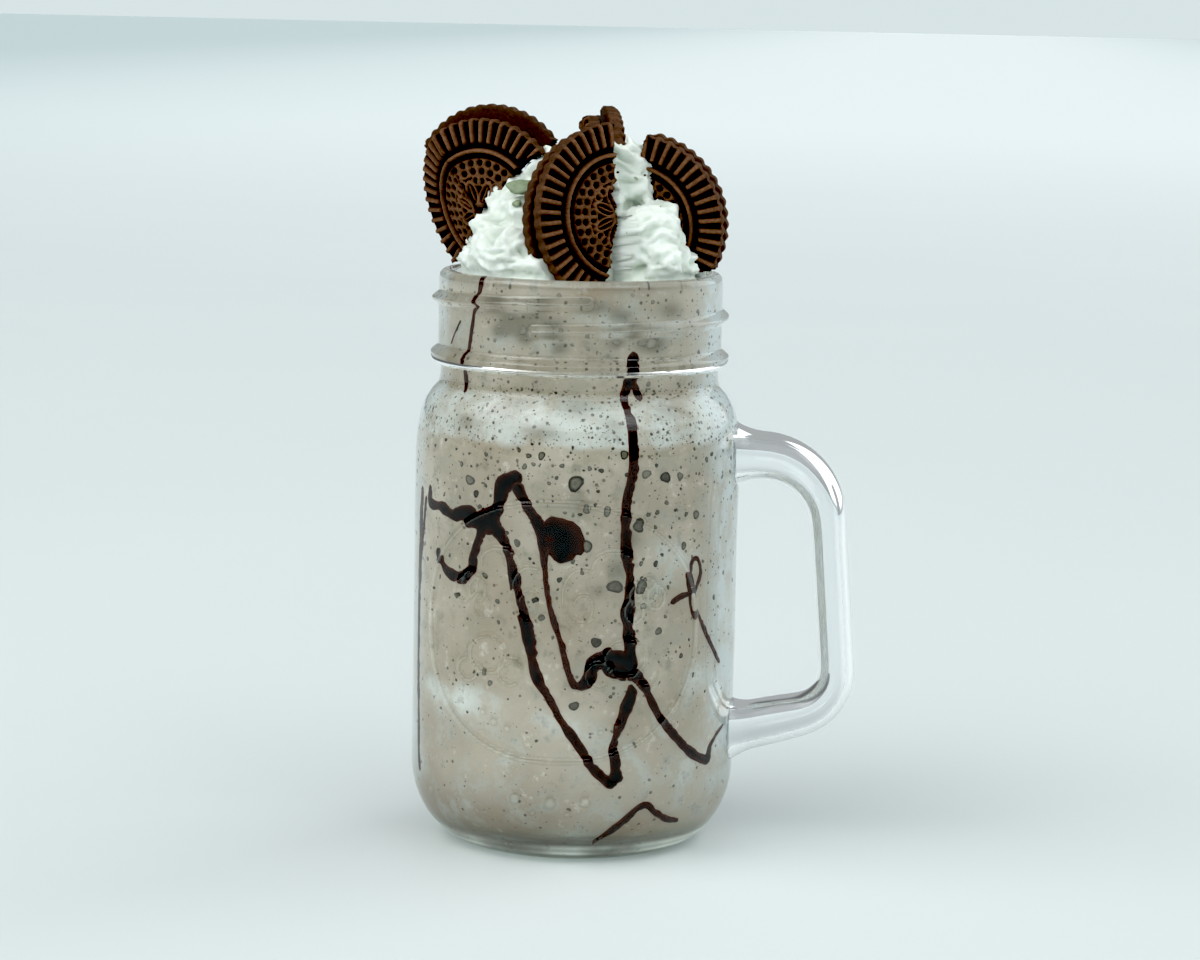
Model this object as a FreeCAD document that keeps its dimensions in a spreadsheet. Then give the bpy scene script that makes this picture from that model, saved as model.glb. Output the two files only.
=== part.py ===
"""Cookie milkshake in a glass jar mug: jar, drink, whipped cream and broken sandwich cookies.

Millimetres, +Z up. The origin is on the jar's axis, on the surface that it stands on, and the
handle points along +X.
"""
import FreeCAD, Part
import math
import os

import Sketcher

from FreeCAD import Placement, Rotation, Vector

UP = Vector(0, 0, 1)

SIZES = [
    # Glass body, from the foot up
    ("body_radius", "38.9"),
    ("foot_inset", "13.9"),
    ("heel_height", "18.8"),
    ("heel_foot_bend", "10.8"),
    ("base_glass", "8"),
    ("wall", "3.2"),
    ("shoulder_drop", "44"),
    ("shoulder_bend", "50"),
    ("shoulder_turn", "10.4"),
    ("throat_bend", "14"),
    ("throat_turn", "45"),
    ("neck_bend", "3.5"),
    # Neck, thread and lip
    ("neck_inset", "5.1"),
    ("rim_height", "137"),
    ("lip_outer_bend", "1.8"),
    ("lip_inner_bend", "1.4"),
    ("bead_drop", "20"),
    ("bead_thickness", "4.4"),
    ("bead_stand", "2"),
    ("thread_start_drop", "12"),
    ("thread_start_angle", "-11.5"),
    ("thread_turn", "381"),
    ("thread_pitch", "6.4"),
    ("thread_thickness", "3"),
    ("thread_stand", "1.7"),
    # Raised oval on the front
    ("oval_drop", "37"),
    ("oval_side_gap", "7.9"),
    ("oval_half_height", "30.2"),
    ("oval_line", "1.6"),
    ("oval_stand", "0.6"),
    # Handle
    ("handle_rise", "1.2"),
    ("handle_bottom", "27"),
    ("handle_gap_top", "20.5"),
    ("handle_gap_bottom", "25.5"),
    ("handle_drop", "7"),
    ("handle_top_bend", "16"),
    ("handle_bottom_bend", "11"),
    ("grip_thickness", "8.3"),
    ("grip_width", "12.4"),
    ("handle_swell", "3.3"),
    ("handle_swell_from", "5"),
    ("handle_swell_to", "38"),
    ("root_flare", "2.75"),
    ("root_flare_length", "8"),
    # Drink and cream
    ("drink_drop", "4"),
    # Sandwich cookies
    ("cookie_radius", "22"),
    ("wafer_thickness", "3"),
    ("relief_height", "0.7"),
    ("filling_thickness", "2"),
    ("filling_inset", "1.6"),
    ("ridge_count", "48"),
    ("ridge_width", "1.15"),
    ("ridge_band", "5.2"),
    ("ridge_inset", "0.3"),
    ("ring_radius", "14.2"),
    ("ring_width", "1.1"),
    ("crack_gap", "0.3"),
    # Sizes that follow the body and the rim
    ("foot_radius", "=body_radius - foot_inset"),
    ("neck_radius", "=body_radius - neck_inset"),
    ("shoulder_start", "=rim_height - shoulder_drop"),
    ("bead_height", "=rim_height - bead_drop"),
    ("thread_start_height", "=rim_height - thread_start_drop"),
    ("drink_height", "=rim_height - drink_drop"),
    ("oval_height", "=shoulder_start - oval_drop"),
    ("oval_half_width", "=body_radius - oval_side_gap"),
    ("handle_top", "=shoulder_start + handle_rise"),
    ("handle_reach_top", "=body_radius + handle_gap_top"),
    ("handle_reach_bottom", "=body_radius + handle_gap_bottom"),
    # Where two curves of the glass meet
    ("heel_reach", "=body_radius - foot_radius"),
    ("heel_wall_bend", "=(heel_reach ^ 2 + heel_height ^ 2 - 2 * heel_height * heel_foot_bend)"
     " / (2 * (heel_reach - heel_foot_bend))"),
    ("heel_run", "=heel_reach - heel_wall_bend"),
    ("heel_rise", "=heel_height - heel_foot_bend"),
    ("heel_gap", "=heel_wall_bend - heel_foot_bend"),
    ("shoulder_radius", "=body_radius - shoulder_bend * (1 - cos(shoulder_turn * 1 deg))"),
    ("shoulder_height", "=shoulder_start + shoulder_bend * sin(shoulder_turn * 1 deg)"),
    ("throat_centre", "=shoulder_radius - throat_bend * cos(shoulder_turn * 1 deg)"),
    ("throat_level", "=shoulder_height - throat_bend * sin(shoulder_turn * 1 deg)"),
    ("throat_radius", "=throat_centre + throat_bend * cos(throat_turn * 1 deg)"),
    ("throat_height", "=throat_level + throat_bend * sin(throat_turn * 1 deg)"),
    ("waist_centre", "=throat_radius + neck_bend * cos(throat_turn * 1 deg)"),
    ("waist_height", "=throat_height + neck_bend * sin(throat_turn * 1 deg)"),
    ("waist_radius", "=waist_centre - neck_bend"),
    ("mouth_radius", "=waist_radius - wall"),
]

NOMINAL_MOUTH_RADIUS = 30
CREAM_LOBES = [
    # Centre x and y and radii along x and y, as in a mouth of the nominal radius.
    # Third is the height of the centre above the rim, and last the radius along z.
    (0, 0, -2, 29.4, 29.4, 17),
    (0, 3, 11, 17, 16, 18),
    (-14, -4, 13, 10.5, 11, 11),
    (-8, -6, 21.5, 7, 7, 6.5),
    (11.5, -3, 21, 7.5, 8, 9.5),
    (17, -13, 8, 10, 9, 10),
    (-15, -17, 4.5, 11, 9, 8.5),
    (3, -23, 3, 8, 5.5, 6.5),
    (25, 5, 3, 8, 9, 6.5),
    (20, 16, 5, 9, 9, 8),
    (5, 18, 10, 12, 9, 11),
    (-13, 15, 9, 11, 10, 11),
    (-23, 3, 3, 6.5, 10, 6),
    (2, 2, 25, 6, 5, 5.5),
]

doc = FreeCAD.newDocument("Milkshake")
sheet = doc.addObject("Spreadsheet::Sheet", "Sizes")
for row, (name, content) in enumerate(SIZES, start=1):
    sheet.set(f"A{row}", name)
    sheet.set(f"B{row}", content)
    sheet.setAlias(f"B{row}", name)
doc.recompute()

NAMES = sorted((name for name, content in SIZES), key=len, reverse=True)


def size(name):
    """A named size of the sheet, as a number."""
    return float(getattr(sheet, name))


def linked(expression):
    """The same expression with each named size read from the sheet."""
    words = []
    word = ""
    for letter in expression + " ":
        if letter.isalnum() or letter == "_":
            word += letter
            continue
        words.append("Sizes." + word if word in NAMES else word)
        words.append(letter)
        word = ""
    return "".join(words).strip()


def bind(item, **expressions):
    """Bind properties of a document object to expressions of named sizes."""
    for key, expression in expressions.items():
        item.setExpression(key, linked(expression))
    return item


def value(expression):
    """What an expression of named sizes comes to."""
    result = sheet.evalExpression(linked(expression).replace("Sizes.", ""))
    return float(getattr(result, "Value", result))


def outline(sketch, corners):
    """Draw a closed outline. A corner is x, y and the bend radius on the way to the next one.

    A bend radius with a minus sign turns clockwise, and None is a straight line.
    """
    places = [Vector(value(x), value(y), 0) for x, y, bend in corners]
    ends = []
    for index, (x, y, bend) in enumerate(corners):
        start = places[index]
        stop = places[(index + 1) % len(places)]
        if bend is None:
            edge = sketch.addGeometry(Part.LineSegment(start, stop), False)
            ends.append((edge, 1, 2))
            continue
        clockwise = bend.startswith("-")
        radius = value(bend.lstrip("-"))
        chord = stop - start
        side = Vector(-chord.y, chord.x, 0).normalize()
        depth = math.sqrt(max(radius ** 2 - (chord.Length / 2) ** 2, 0))
        centre = (start + stop) * 0.5 + side * (-depth if clockwise else depth)
        first, last = (stop, start) if clockwise else (start, stop)
        angles = [math.atan2(point.y - centre.y, point.x - centre.x) for point in (first, last)]
        circle = Part.Circle(centre, UP, radius)
        edge = sketch.addGeometry(Part.ArcOfCircle(circle, angles[0], angles[1]), False)
        ends.append((edge, 2, 1) if clockwise else (edge, 1, 2))
        rule = sketch.addConstraint(Sketcher.Constraint("Radius", edge, radius))
        sketch.setExpression(f"Constraints[{rule}]", linked(bend.lstrip("-")))
    for index, (edge, start, stop) in enumerate(ends):
        after = ends[(index + 1) % len(ends)]
        sketch.addConstraint(Sketcher.Constraint("Coincident", edge, stop, after[0], after[1]))
    for index, (edge, start, stop) in enumerate(ends):
        for kind, place, expression in (
            ("DistanceX", places[index].x, corners[index][0]),
            ("DistanceY", places[index].y, corners[index][1]),
        ):
            rule = sketch.addConstraint(Sketcher.Constraint(kind, -1, 1, edge, start, place))
            sketch.setExpression(f"Constraints[{rule}]", linked(expression))


def flipped(bend):
    """The same bend, travelled the other way."""
    if bend is None:
        return None
    return bend[1:] if bend.startswith("-") else "-" + bend


def backwards(corners):
    """The same open run of corners, travelled the other way."""
    bends = [flipped(bend) for x, y, bend in corners[:-1]]
    places = [(x, y) for x, y, bend in corners]
    return [(x, y, bend) for (x, y), bend in zip(places[::-1], bends[::-1] + [None])]


def glass_curve(inset, lift, top):
    """Half outline of the glass from the foot to the neck, moved inwards by a wall."""
    turn_1 = "shoulder_turn * 1 deg"
    turn_2 = "throat_turn * 1 deg"
    foot_bend = f"(heel_foot_bend - {inset})"
    return [
        ("foot_radius", lift, foot_bend),
        (
            f"foot_radius - {foot_bend} * heel_run / heel_gap",
            f"{foot_bend} - {foot_bend} * heel_rise / heel_gap + {lift}",
            f"(heel_wall_bend - {inset})",
        ),
        (f"body_radius - {inset}", f"heel_height - {inset} + {lift}", None),
        (f"body_radius - {inset}", "shoulder_start", f"(shoulder_bend - {inset})"),
        (
            f"shoulder_radius - {inset} * cos({turn_1})",
            f"shoulder_height - {inset} * sin({turn_1})",
            f"(throat_bend - {inset})",
        ),
        (
            f"throat_radius - {inset} * cos({turn_2})",
            f"throat_height - {inset} * sin({turn_2})",
            f"-(neck_bend + {inset})",
        ),
        (f"waist_radius - {inset}", "waist_height", None),
        (f"waist_radius - {inset}", top, None),
    ]


def turned(label, corners):
    """A solid of revolution about Z from half an outline in the XZ plane."""
    sketch = doc.addObject("Sketcher::SketchObject", label + "_outline")
    sketch.Placement = Placement(Vector(), Rotation(Vector(1, 0, 0), 90))
    outline(sketch, corners)
    solid = doc.addObject("Part::Revolution", label)
    solid.Source = sketch
    solid.Axis = UP
    solid.Angle = 360
    solid.Solid = True
    return solid


def combine(kind, label, base, tool):
    """A boolean of two objects."""
    result = doc.addObject(kind, label)
    result.Base = base
    result.Tool = tool
    return result


def joined(label, pieces):
    """One solid from many objects."""
    result = doc.addObject("Part::MultiFuse", label)
    result.Shapes = pieces
    result.Refine = True
    return result


def make_wall():
    """Blown glass body with its neck and rounded lip."""
    outside = glass_curve("0", "0", "bead_height")
    inside = glass_curve("wall", "base_glass", "rim_height - lip_inner_bend")
    lip = [
        ("neck_radius", "bead_height", None),
        ("neck_radius", "rim_height - lip_outer_bend", "lip_outer_bend"),
        ("neck_radius - lip_outer_bend", "rim_height", None),
        ("mouth_radius + lip_inner_bend", "rim_height", "lip_inner_bend"),
    ]
    corners = [("0", "0", None)] + outside + lip + backwards(inside)
    return turned("glass_wall", corners + [("0", "base_glass", None)])


def make_bead():
    """Round bead below the thread."""
    bead = doc.addObject("Part::Torus", "glass_bead")
    bind(bead, Radius1="neck_radius + bead_stand - bead_thickness / 2", Radius2="bead_thickness / 2")
    bead.Placement.Base = Vector(0, 0, size("bead_height"))
    return bead


def make_thread():
    """Single-start thread with rounded ends."""
    centre = "neck_radius + thread_stand - thread_thickness / 2"
    start = Rotation(UP, size("thread_start_angle") - 90)
    foot = Vector(0, 0, size("thread_start_height"))
    climb = size("thread_pitch") * size("thread_turn") / 360
    helix = doc.addObject("Part::Helix", "thread_helix")
    bind(helix, Radius=centre, Pitch="thread_pitch", Height="thread_pitch * thread_turn / 360")
    helix.Placement = Placement(foot, start)
    ring = doc.addObject("Part::Circle", "thread_section")
    bind(ring, Radius="thread_thickness / 2")
    first = start.multVec(Vector(value(centre), 0, 0))
    ring.Placement = Placement(foot + first, start.multiply(Rotation(Vector(1, 0, 0), 90)))
    doc.recompute()
    sweep = doc.addObject("Part::Sweep", "glass_thread")
    sweep.Sections = [ring]
    sweep.Spine = (helix, [f"Edge{i + 1}" for i in range(len(helix.Shape.Edges))])
    sweep.Solid = True
    sweep.Frenet = True
    last = Rotation(UP, size("thread_turn")).multVec(first)
    pieces = [sweep]
    for label, place in (("start", foot + first), ("end", foot + last + UP * climb)):
        cap = doc.addObject("Part::Sphere", "thread_" + label)
        bind(cap, Radius="thread_thickness / 2")
        cap.Placement.Base = place
        pieces.append(cap)
    return pieces


def make_oval():
    """Thin raised oval line on the front of the body."""
    rims = []
    for label, sign in (("outer", "+"), ("inner", "-")):
        curve = doc.addObject("Part::Ellipse", "oval_curve_" + label)
        bind(
            curve,
            MajorRadius=f"oval_half_width {sign} oval_line / 2",
            MinorRadius=f"oval_half_height {sign} oval_line / 2",
        )
        flat = Rotation(Vector(1, 0, 0), 90)
        curve.Placement = Placement(Vector(0, 0, size("oval_height")), flat)
        prism = doc.addObject("Part::Extrusion", "oval_prism_" + label)
        prism.Base = curve
        prism.DirMode = "Custom"
        prism.Dir = Vector(0, -1, 0)
        prism.Solid = True
        bind(prism, LengthFwd="body_radius * 2")
        rims.append(prism)
    band = combine("Part::Cut", "oval_band", rims[0], rims[1])
    drum = doc.addObject("Part::Cylinder", "oval_drum")
    bind(drum, Radius="body_radius + oval_stand", Height="rim_height")
    core = doc.addObject("Part::Cylinder", "oval_core")
    bind(core, Radius="body_radius - wall / 2", Height="rim_height")
    skin = combine("Part::Cut", "oval_skin", drum, core)
    return combine("Part::Common", "glass_oval", band, skin)


def handle_stations():
    """Points along the middle of the handle: place, direction, and shares of swell and flare."""
    root = size("body_radius") - size("wall") * 0.65
    low = size("handle_bottom")
    points = [
        Vector(root, 0, size("handle_top")),
        Vector(size("handle_reach_top"), 0, size("handle_top")),
        Vector(size("handle_reach_bottom"), 0, low + size("handle_drop")),
        Vector(root, 0, low),
    ]
    edges = []
    start = points[0]
    for corner, after, radius in (
        (points[1], points[2], size("handle_top_bend")),
        (points[2], points[3], size("handle_bottom_bend")),
    ):
        into = (corner - start).normalize()
        out = (after - corner).normalize()
        trim = radius * math.tan(into.getAngle(out) / 2)
        middle = corner + (out - into).normalize() * (math.hypot(radius, trim) - radius)
        edges.append(Part.LineSegment(start, corner - into * trim).toShape())
        edges.append(Part.Arc(corner - into * trim, middle, corner + out * trim).toShape())
        start = corner + out * trim
    edges.append(Part.LineSegment(start, points[3]).toShape())
    path = Part.Wire(edges)
    reach = size("root_flare_length")
    steps = [0, 0.16, 0.36, 0.64, 1]
    places = [reach * step for step in steps]
    middle_count = 15
    for index in range(1, middle_count):
        places.append(reach + (path.Length - 2 * reach) * index / middle_count)
    places += [path.Length - reach * step for step in reversed(steps)]
    stations = []
    for place in places:
        walked = place
        for edge in edges:
            if walked <= edge.Length + 1e-6:
                break
            walked -= edge.Length
        at = edge.getParameterByLength(min(walked, edge.Length))
        near = min(place, path.Length - place)
        swell_from, swell_to = size("handle_swell_from"), size("handle_swell_to")
        away = min(max((near - swell_from) / (swell_to - swell_from), 0), 1)
        swell = 1 - away ** 2 * (3 - 2 * away)
        flare = max(1 - near / reach, 0) ** 2
        level = max(1 - near / (2 * reach), 0)
        straight = Vector(1 if place < path.Length / 2 else -1, 0, 0)
        tangent = edge.tangentAt(at) * (1 - level) + straight * level
        stations.append((edge.valueAt(at), tangent.normalize(), swell, flare))
    return stations


def make_handle():
    """D-shaped handle, thicker in its level runs and wider where it runs into the body."""
    sections = []
    for index, (place, tangent, swell, flare) in enumerate(handle_stations()):
        section = doc.addObject("Part::Ellipse", f"handle_section_{index + 1}")
        bind(
            section,
            MajorRadius=f"grip_width / 2 + root_flare * {flare:.4f}",
            MinorRadius=f"(grip_thickness + handle_swell * {swell:.4f}) / 2"
            f" + root_flare * {flare:.4f}",
        )
        face = Rotation(Vector(0, 1, 0), Vector(), tangent, "ZXY")
        section.Placement = Placement(place, face)
        sections.append(section)
    handle = doc.addObject("Part::Loft", "glass_handle")
    handle.Sections = sections
    handle.Solid = True
    handle.Ruled = False
    return handle


def make_jar():
    """The whole jar mug as one solid."""
    thread = joined("glass_thread_whole", make_thread())
    thread.Refine = False
    return joined("jar", [make_wall(), make_bead(), make_handle(), make_oval(), thread])


def cookie_frame(place, azimuth, lift):
    """Placement of a cookie: its front face is the frame's XY plane and looks along +Z.

    Azimuth turns the face from the front (-Y) towards +X, and lift tips it upwards.
    """
    turn = Rotation(UP, azimuth).multiply(Rotation(Vector(1, 0, 0), 90 - lift))
    return Placement(place, turn)


def cookie_place(x, y, rise, sink):
    """Centre of a cookie. Its height over the rim is a share of its radius, less how far it sinks.

    The share is large enough for a larger cookie to stay clear of the lip.
    """
    return Vector(x, y, size("rim_height") + rise * size("cookie_radius") - sink)


def behind(frame, depth, slip=(0, 0)):
    """A cookie's frame moved back by a depth and slipped sideways within the cookie."""
    return frame.multiply(Placement(Vector(slip[0], slip[1], -depth), Rotation()))


def turned_over(frame):
    """The same frame seen from the back: X runs the other way."""
    return frame.multiply(Placement(Vector(), Rotation(Vector(0, 1, 0), 180)))


def seen_from_behind(first, last, broken):
    """The angles of a broken disc as they are seen from its other side."""
    return 180 - last, 180 - first, [(share, 180 - angle) for share, angle in reversed(broken)]


def polar(radius, degrees):
    """Expressions for a point at a radius and an angle."""
    return f"{radius} * cos({degrees} * 1 deg)", f"{radius} * sin({degrees} * 1 deg)"


def origin_item(body, role):
    """One of a body's own origin planes or axes."""
    return next(item for item in body.Origin.OriginFeatures if item.Role == role)


def pad_on(body, label, corners, length, downwards=False):
    """Pad an outline that lies on the body's XY plane."""
    sketch = body.newObject("Sketcher::SketchObject", label + "_sketch")
    sketch.AttachmentSupport = [(origin_item(body, "XY_Plane"), "")]
    sketch.MapMode = "FlatFace"
    outline(sketch, corners)
    pad = body.newObject("PartDesign::Pad", label)
    pad.Profile = sketch
    pad.Reversed = downwards
    bind(pad, Length=length)
    return pad


def sector(radius, first, last, broken):
    """Outline of a broken disc: its round edge between two angles, then its broken edge.

    The broken edge is a list of points, each a share of the disc's radius and an angle.
    """
    middle = (first + last) / 2
    corners = [(*polar(radius, first), radius), (*polar(radius, middle), radius)]
    corners.append((*polar(radius, last), None))
    corners += [(*polar(f"{radius} * {share}", angle), None) for share, angle in broken]
    return corners


def ridge_outline(angle):
    """One radial ridge near the rim, as a slim rectangle at an angle."""
    inner = "(cookie_radius - ridge_band)"
    outer = "(cookie_radius - ridge_inset)"
    half = "ridge_width / 2"
    corners = []
    for radius, side in ((inner, -1), (outer, -1), (outer, 1), (inner, 1)):
        x, y = polar(radius, angle)
        across, along = polar(half, angle + 90 * side)
        corners.append((f"{x} + {across}", f"{y} + {along}", None))
    return corners


def wafer(label, frame, first, last, broken, ring=None):
    """Broken chocolate wafer: a disc with radial ridges round its rim and a raised ring."""
    body = doc.addObject("PartDesign::Body", label)
    disc = sector("cookie_radius", first, last, broken)
    pad_on(body, label + "_disc", disc, "wafer_thickness", True)
    pitch = 360 / size("ridge_count")
    count = int((last - first) / pitch)
    ridge = pad_on(body, label + "_ridge", ridge_outline(first + pitch / 2), "relief_height")
    pattern = body.newObject("PartDesign::PolarPattern", label + "_ridges")
    pattern.Originals = [ridge]
    pattern.Axis = (origin_item(body, "Z_Axis"), [""])
    pattern.Angle = (count - 1) * pitch
    pattern.Occurrences = count
    body.Tip = pattern
    if ring:
        outer = "(ring_radius + ring_width / 2)"
        inner = "(ring_radius - ring_width / 2)"
        start, stop = ring
        middle = (start + stop) / 2
        band = [
            (*polar(outer, start), outer),
            (*polar(outer, middle), outer),
            (*polar(outer, stop), None),
            (*polar(inner, stop), "-" + inner),
            (*polar(inner, middle), "-" + inner),
            (*polar(inner, start), None),
        ]
        body.Tip = pad_on(body, label + "_ring", band, "relief_height")
    body.Placement = frame
    return body


def back_wafer(label, frame, first, last, broken, slip=(0, 0)):
    """Back wafer of a cookie: its plain side is towards the filling."""
    depth = 2 * size("wafer_thickness") + size("filling_thickness")
    place = turned_over(behind(frame, depth, slip))
    return wafer(label, place, *seen_from_behind(first, last, broken))


def filling(label, frame, first, last, broken):
    """Dark cream layer between two wafers, broken off with them."""
    body = doc.addObject("PartDesign::Body", label)
    layer = sector("(cookie_radius - filling_inset)", first, last, broken)
    pad_on(body, label + "_layer", layer, "filling_thickness", True)
    body.Placement = behind(frame, size("wafer_thickness"))
    return body


def crack_box(label, place, along, facing):
    """Block beyond a crack, on the side that facing points to, to be cut away from a wafer."""
    reach = 3 * size("cookie_radius")
    block = doc.addObject("Part::Box", label)
    bind(block, Length="cookie_radius * 6", Width="cookie_radius * 6", Height="cookie_radius * 2")
    turn = Rotation(along, Vector(), facing, "ZXY")
    gap = facing * (size("crack_gap") / 2)
    block.Placement = Placement(place - gap, turn).multiply(
        Placement(Vector(-reach, -reach, 0), Rotation())
    )
    return block


def make_middle_cookie():
    """Left half of a cookie, in front, its broken edge upright."""
    place = cookie_place(10.3, 14.1 - size("mouth_radius"), 1.45, 17.9)
    frame = cookie_frame(place, 40, 6.7)
    front = [
        (0.72, 253), (0.54, 255), (0.35, 251), (0.15, 250), (0.08, 121), (0.25, 109), (0.39, 92),
        (0.50, 97), (0.53, 91), (0.60, 94), (0.66, 89), (0.70, 91), (0.89, 91),
    ]
    layer = [(0.70, 250), (0.30, 240), (0.30, 112), (0.60, 96)]
    back = [(0.62, 248), (0.20, 245), (0.20, 105), (0.66, 92)]
    return [
        wafer("cookie_middle_front", frame, 90, 255, front, (102, 240)),
        filling("cookie_middle_filling", frame, 92, 253, layer),
        back_wafer("cookie_middle_back", frame, 91, 256, back, (0, -1)),
    ]


def make_left_cookie():
    """Cookie at the left: its front wafer is cracked in two and folded along the crack."""
    place = cookie_place(6.1 - size("mouth_radius"), -5.7, 1.45, 18.2)
    upper_frame = cookie_frame(place, -20.5, 0)
    lower_frame = cookie_frame(place, -46.5, -18)
    upper_edge = [(0.03, 90), (0.31, 34), (0.47, 41), (0.64, 46), (0.80, 47), (0.92, 43)]
    lower_edge = [
        (0.84, 224), (0.68, 232), (0.55, 238), (0.45, 242), (0.32, 269), (0.22, 260),
        (0.21, 232), (0.10, 264), (0.03, 200),
    ]
    upper = wafer("left_upper_whole", upper_frame, 41, 130, upper_edge, (56, 118))
    lower = wafer("left_lower_whole", lower_frame, 119, 220, lower_edge, (130, 215))
    normal_1 = upper_frame.Rotation.multVec(UP)
    normal_2 = lower_frame.Rotation.multVec(UP)
    crack = normal_2.cross(normal_1).normalize()
    if crack.z < 0:
        crack = -crack
    facing = crack.cross(normal_1 + normal_2).normalize()
    if facing.dot(lower_frame.Rotation.multVec(Vector(-1, -1, 0))) < 0:
        facing = -facing
    lower_side = crack_box("left_crack_lower_side", place, crack, facing)
    upper_side = crack_box("left_crack_upper_side", place, crack, -facing)
    front_upper = combine("Part::Cut", "cookie_left_front_upper", upper, lower_side)
    front_lower = combine("Part::Cut", "cookie_left_front_lower", lower, upper_side)
    back_edge = [(0.55, 150), (0.30, 80), (0.45, 50), (0.80, 38)]
    layer_edge = [(0.40, 140), (0.20, 80), (0.60, 52)]
    back = back_wafer("left_back_whole", upper_frame, 40, 148, back_edge, (0, 3.2))
    layer = filling("left_filling_whole", upper_frame, 46, 136, layer_edge)
    return [
        front_upper,
        front_lower,
        combine("Part::Cut", "cookie_left_back", back, front_lower),
        combine("Part::Cut", "cookie_left_filling", layer, front_lower),
    ]


def make_right_cookie():
    """Crescent broken from a cookie, at the right. Its lower end stands on the jar's lip."""
    lip_end = size("mouth_radius") + 1.64
    place = cookie_place(lip_end - 0.883 * size("cookie_radius"), -3.6, 0.469, -0.68)
    frame = cookie_frame(place, -6.5, -5)
    front = [
        (0.92, 82), (0.81, 82), (0.67, 79), (0.57, 72), (0.45, 76), (0.39, 65), (0.40, 42),
        (0.45, 25), (0.48, 10), (0.52, -5), (0.55, -21), (0.66, -27), (0.74, -40),
    ]
    layer = [(0.60, 78), (0.50, 50), (0.58, 10), (0.68, -25), (0.78, -38)]
    back = [(0.60, 80), (0.46, 50), (0.54, 10), (0.66, -24), (0.74, -39)]
    return [
        wafer("cookie_right_front", frame, -28, 80, front, (-24, 74)),
        filling("cookie_right_filling", frame, -28, 78, layer),
        back_wafer("cookie_right_back", frame, -28, 79, back),
    ]


def make_rear_cookie():
    """Top of a cookie that stands edge-on behind the middle one."""
    place = cookie_place(6, 0.82 * size("cookie_radius") - 7.04, 1.45, 15.1)
    frame = cookie_frame(place, 104.5, 0)
    front = [(0.45, 140), (0.40, 90)]
    layer = [(0.50, 140), (0.50, 105)]
    back = [(0.45, 140), (0.45, 100), (0.80, 88), (0.84, 100)]
    return [
        wafer("cookie_rear_front", frame, 84, 145, front),
        filling("cookie_rear_filling", frame, 104, 142, layer),
        back_wafer("cookie_rear_back", frame, 112, 142, back),
    ]


def make_drink(cookies):
    """Milkshake that fills the jar up to the cream."""
    inside = glass_curve("wall", "base_glass", "drink_height")
    corners = [("0", "base_glass", None)] + inside + [("0", "drink_height", None)]
    return combine("Part::Cut", "milkshake", turned("drink_whole", corners), cookies)


def make_cream(cookies):
    """Lumpy mound of whipped cream that fills the mouth and stands over it."""
    lobes = []
    wide = size("mouth_radius") / NOMINAL_MOUTH_RADIUS
    for index, (x, y, above_rim, along_x, along_y, along_z) in enumerate(CREAM_LOBES):
        lobe = doc.addObject("Part::Ellipsoid", f"cream_lobe_{index + 1}")
        lobe.Radius1, lobe.Radius2, lobe.Radius3 = along_z, along_x * wide, along_y * wide
        lobe.Placement.Base = Vector(x * wide, y * wide, size("rim_height") + above_rim)
        lobes.append(lobe)
    plug = doc.addObject("Part::Cylinder", "cream_plug")
    bind(plug, Radius="mouth_radius", Height="rim_height - drink_height")
    plug.Placement.Base = Vector(0, 0, size("drink_height"))
    above = doc.addObject("Part::Cylinder", "cream_room_above")
    bind(above, Radius="body_radius * 2", Height="rim_height")
    above.Placement.Base = Vector(0, 0, size("rim_height"))
    room = joined("cream_room", [plug, above])
    mound = joined("cream_mound", lobes)
    inside = combine("Part::Common", "cream_inside", mound, room)
    filled = joined("cream_whole", [inside, plug])
    return combine("Part::Cut", "whipped_cream", filled, cookies)


def write(nodes):
    """Check every object of the document, then write each sub-part."""
    failed = [item.Name for item in doc.Objects if {"Invalid", "Error"} & set(item.State)]
    if failed:
        raise RuntimeError(f"objects that did not build: {failed}")
    for node in nodes:
        shape = node.Shape
        if shape.isNull() or not shape.isValid() or not shape.Solids:
            raise RuntimeError(f"no valid solid in {node.Label}")
    os.makedirs("parts", exist_ok=True)
    for node in nodes:
        node.Shape.exportStep(f"parts/{node.Label}.step")
        print(f"{node.Label}: {len(node.Shape.Solids)} solid, {node.Shape.Volume / 1000:.2f} cm3")


cookie_pieces = make_left_cookie() + make_middle_cookie() + make_right_cookie() + make_rear_cookie()
all_cookies = joined("cookie_space", cookie_pieces)
milkshake = make_drink(all_cookies)
cream = make_cream(all_cookies)
jar = make_jar()
doc.recompute()
write([jar, milkshake, cream] + cookie_pieces)
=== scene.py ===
"""Looks of the cookie milkshake in its glass jar mug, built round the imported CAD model.

Sizes are in millimetres until a mesh is made. An azimuth is in degrees from the front (-Y)
towards the handle (+X).
"""

import math

import bmesh
import bpy
import numpy as np
from mathutils import Matrix, Vector, noise


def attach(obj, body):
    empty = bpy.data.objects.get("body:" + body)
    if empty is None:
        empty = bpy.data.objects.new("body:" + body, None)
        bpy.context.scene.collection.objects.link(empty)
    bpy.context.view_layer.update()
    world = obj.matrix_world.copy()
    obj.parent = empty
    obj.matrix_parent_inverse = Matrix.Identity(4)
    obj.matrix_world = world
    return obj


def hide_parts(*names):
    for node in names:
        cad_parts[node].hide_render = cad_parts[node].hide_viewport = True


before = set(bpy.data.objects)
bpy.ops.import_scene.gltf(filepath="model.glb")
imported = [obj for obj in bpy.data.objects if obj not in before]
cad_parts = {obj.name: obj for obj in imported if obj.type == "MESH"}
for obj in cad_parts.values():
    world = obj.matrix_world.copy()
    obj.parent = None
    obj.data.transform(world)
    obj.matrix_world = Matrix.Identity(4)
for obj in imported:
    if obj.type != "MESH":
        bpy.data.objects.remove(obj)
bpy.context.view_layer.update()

MM = 0.001
RANDOM = np.random.default_rng(20)

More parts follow.
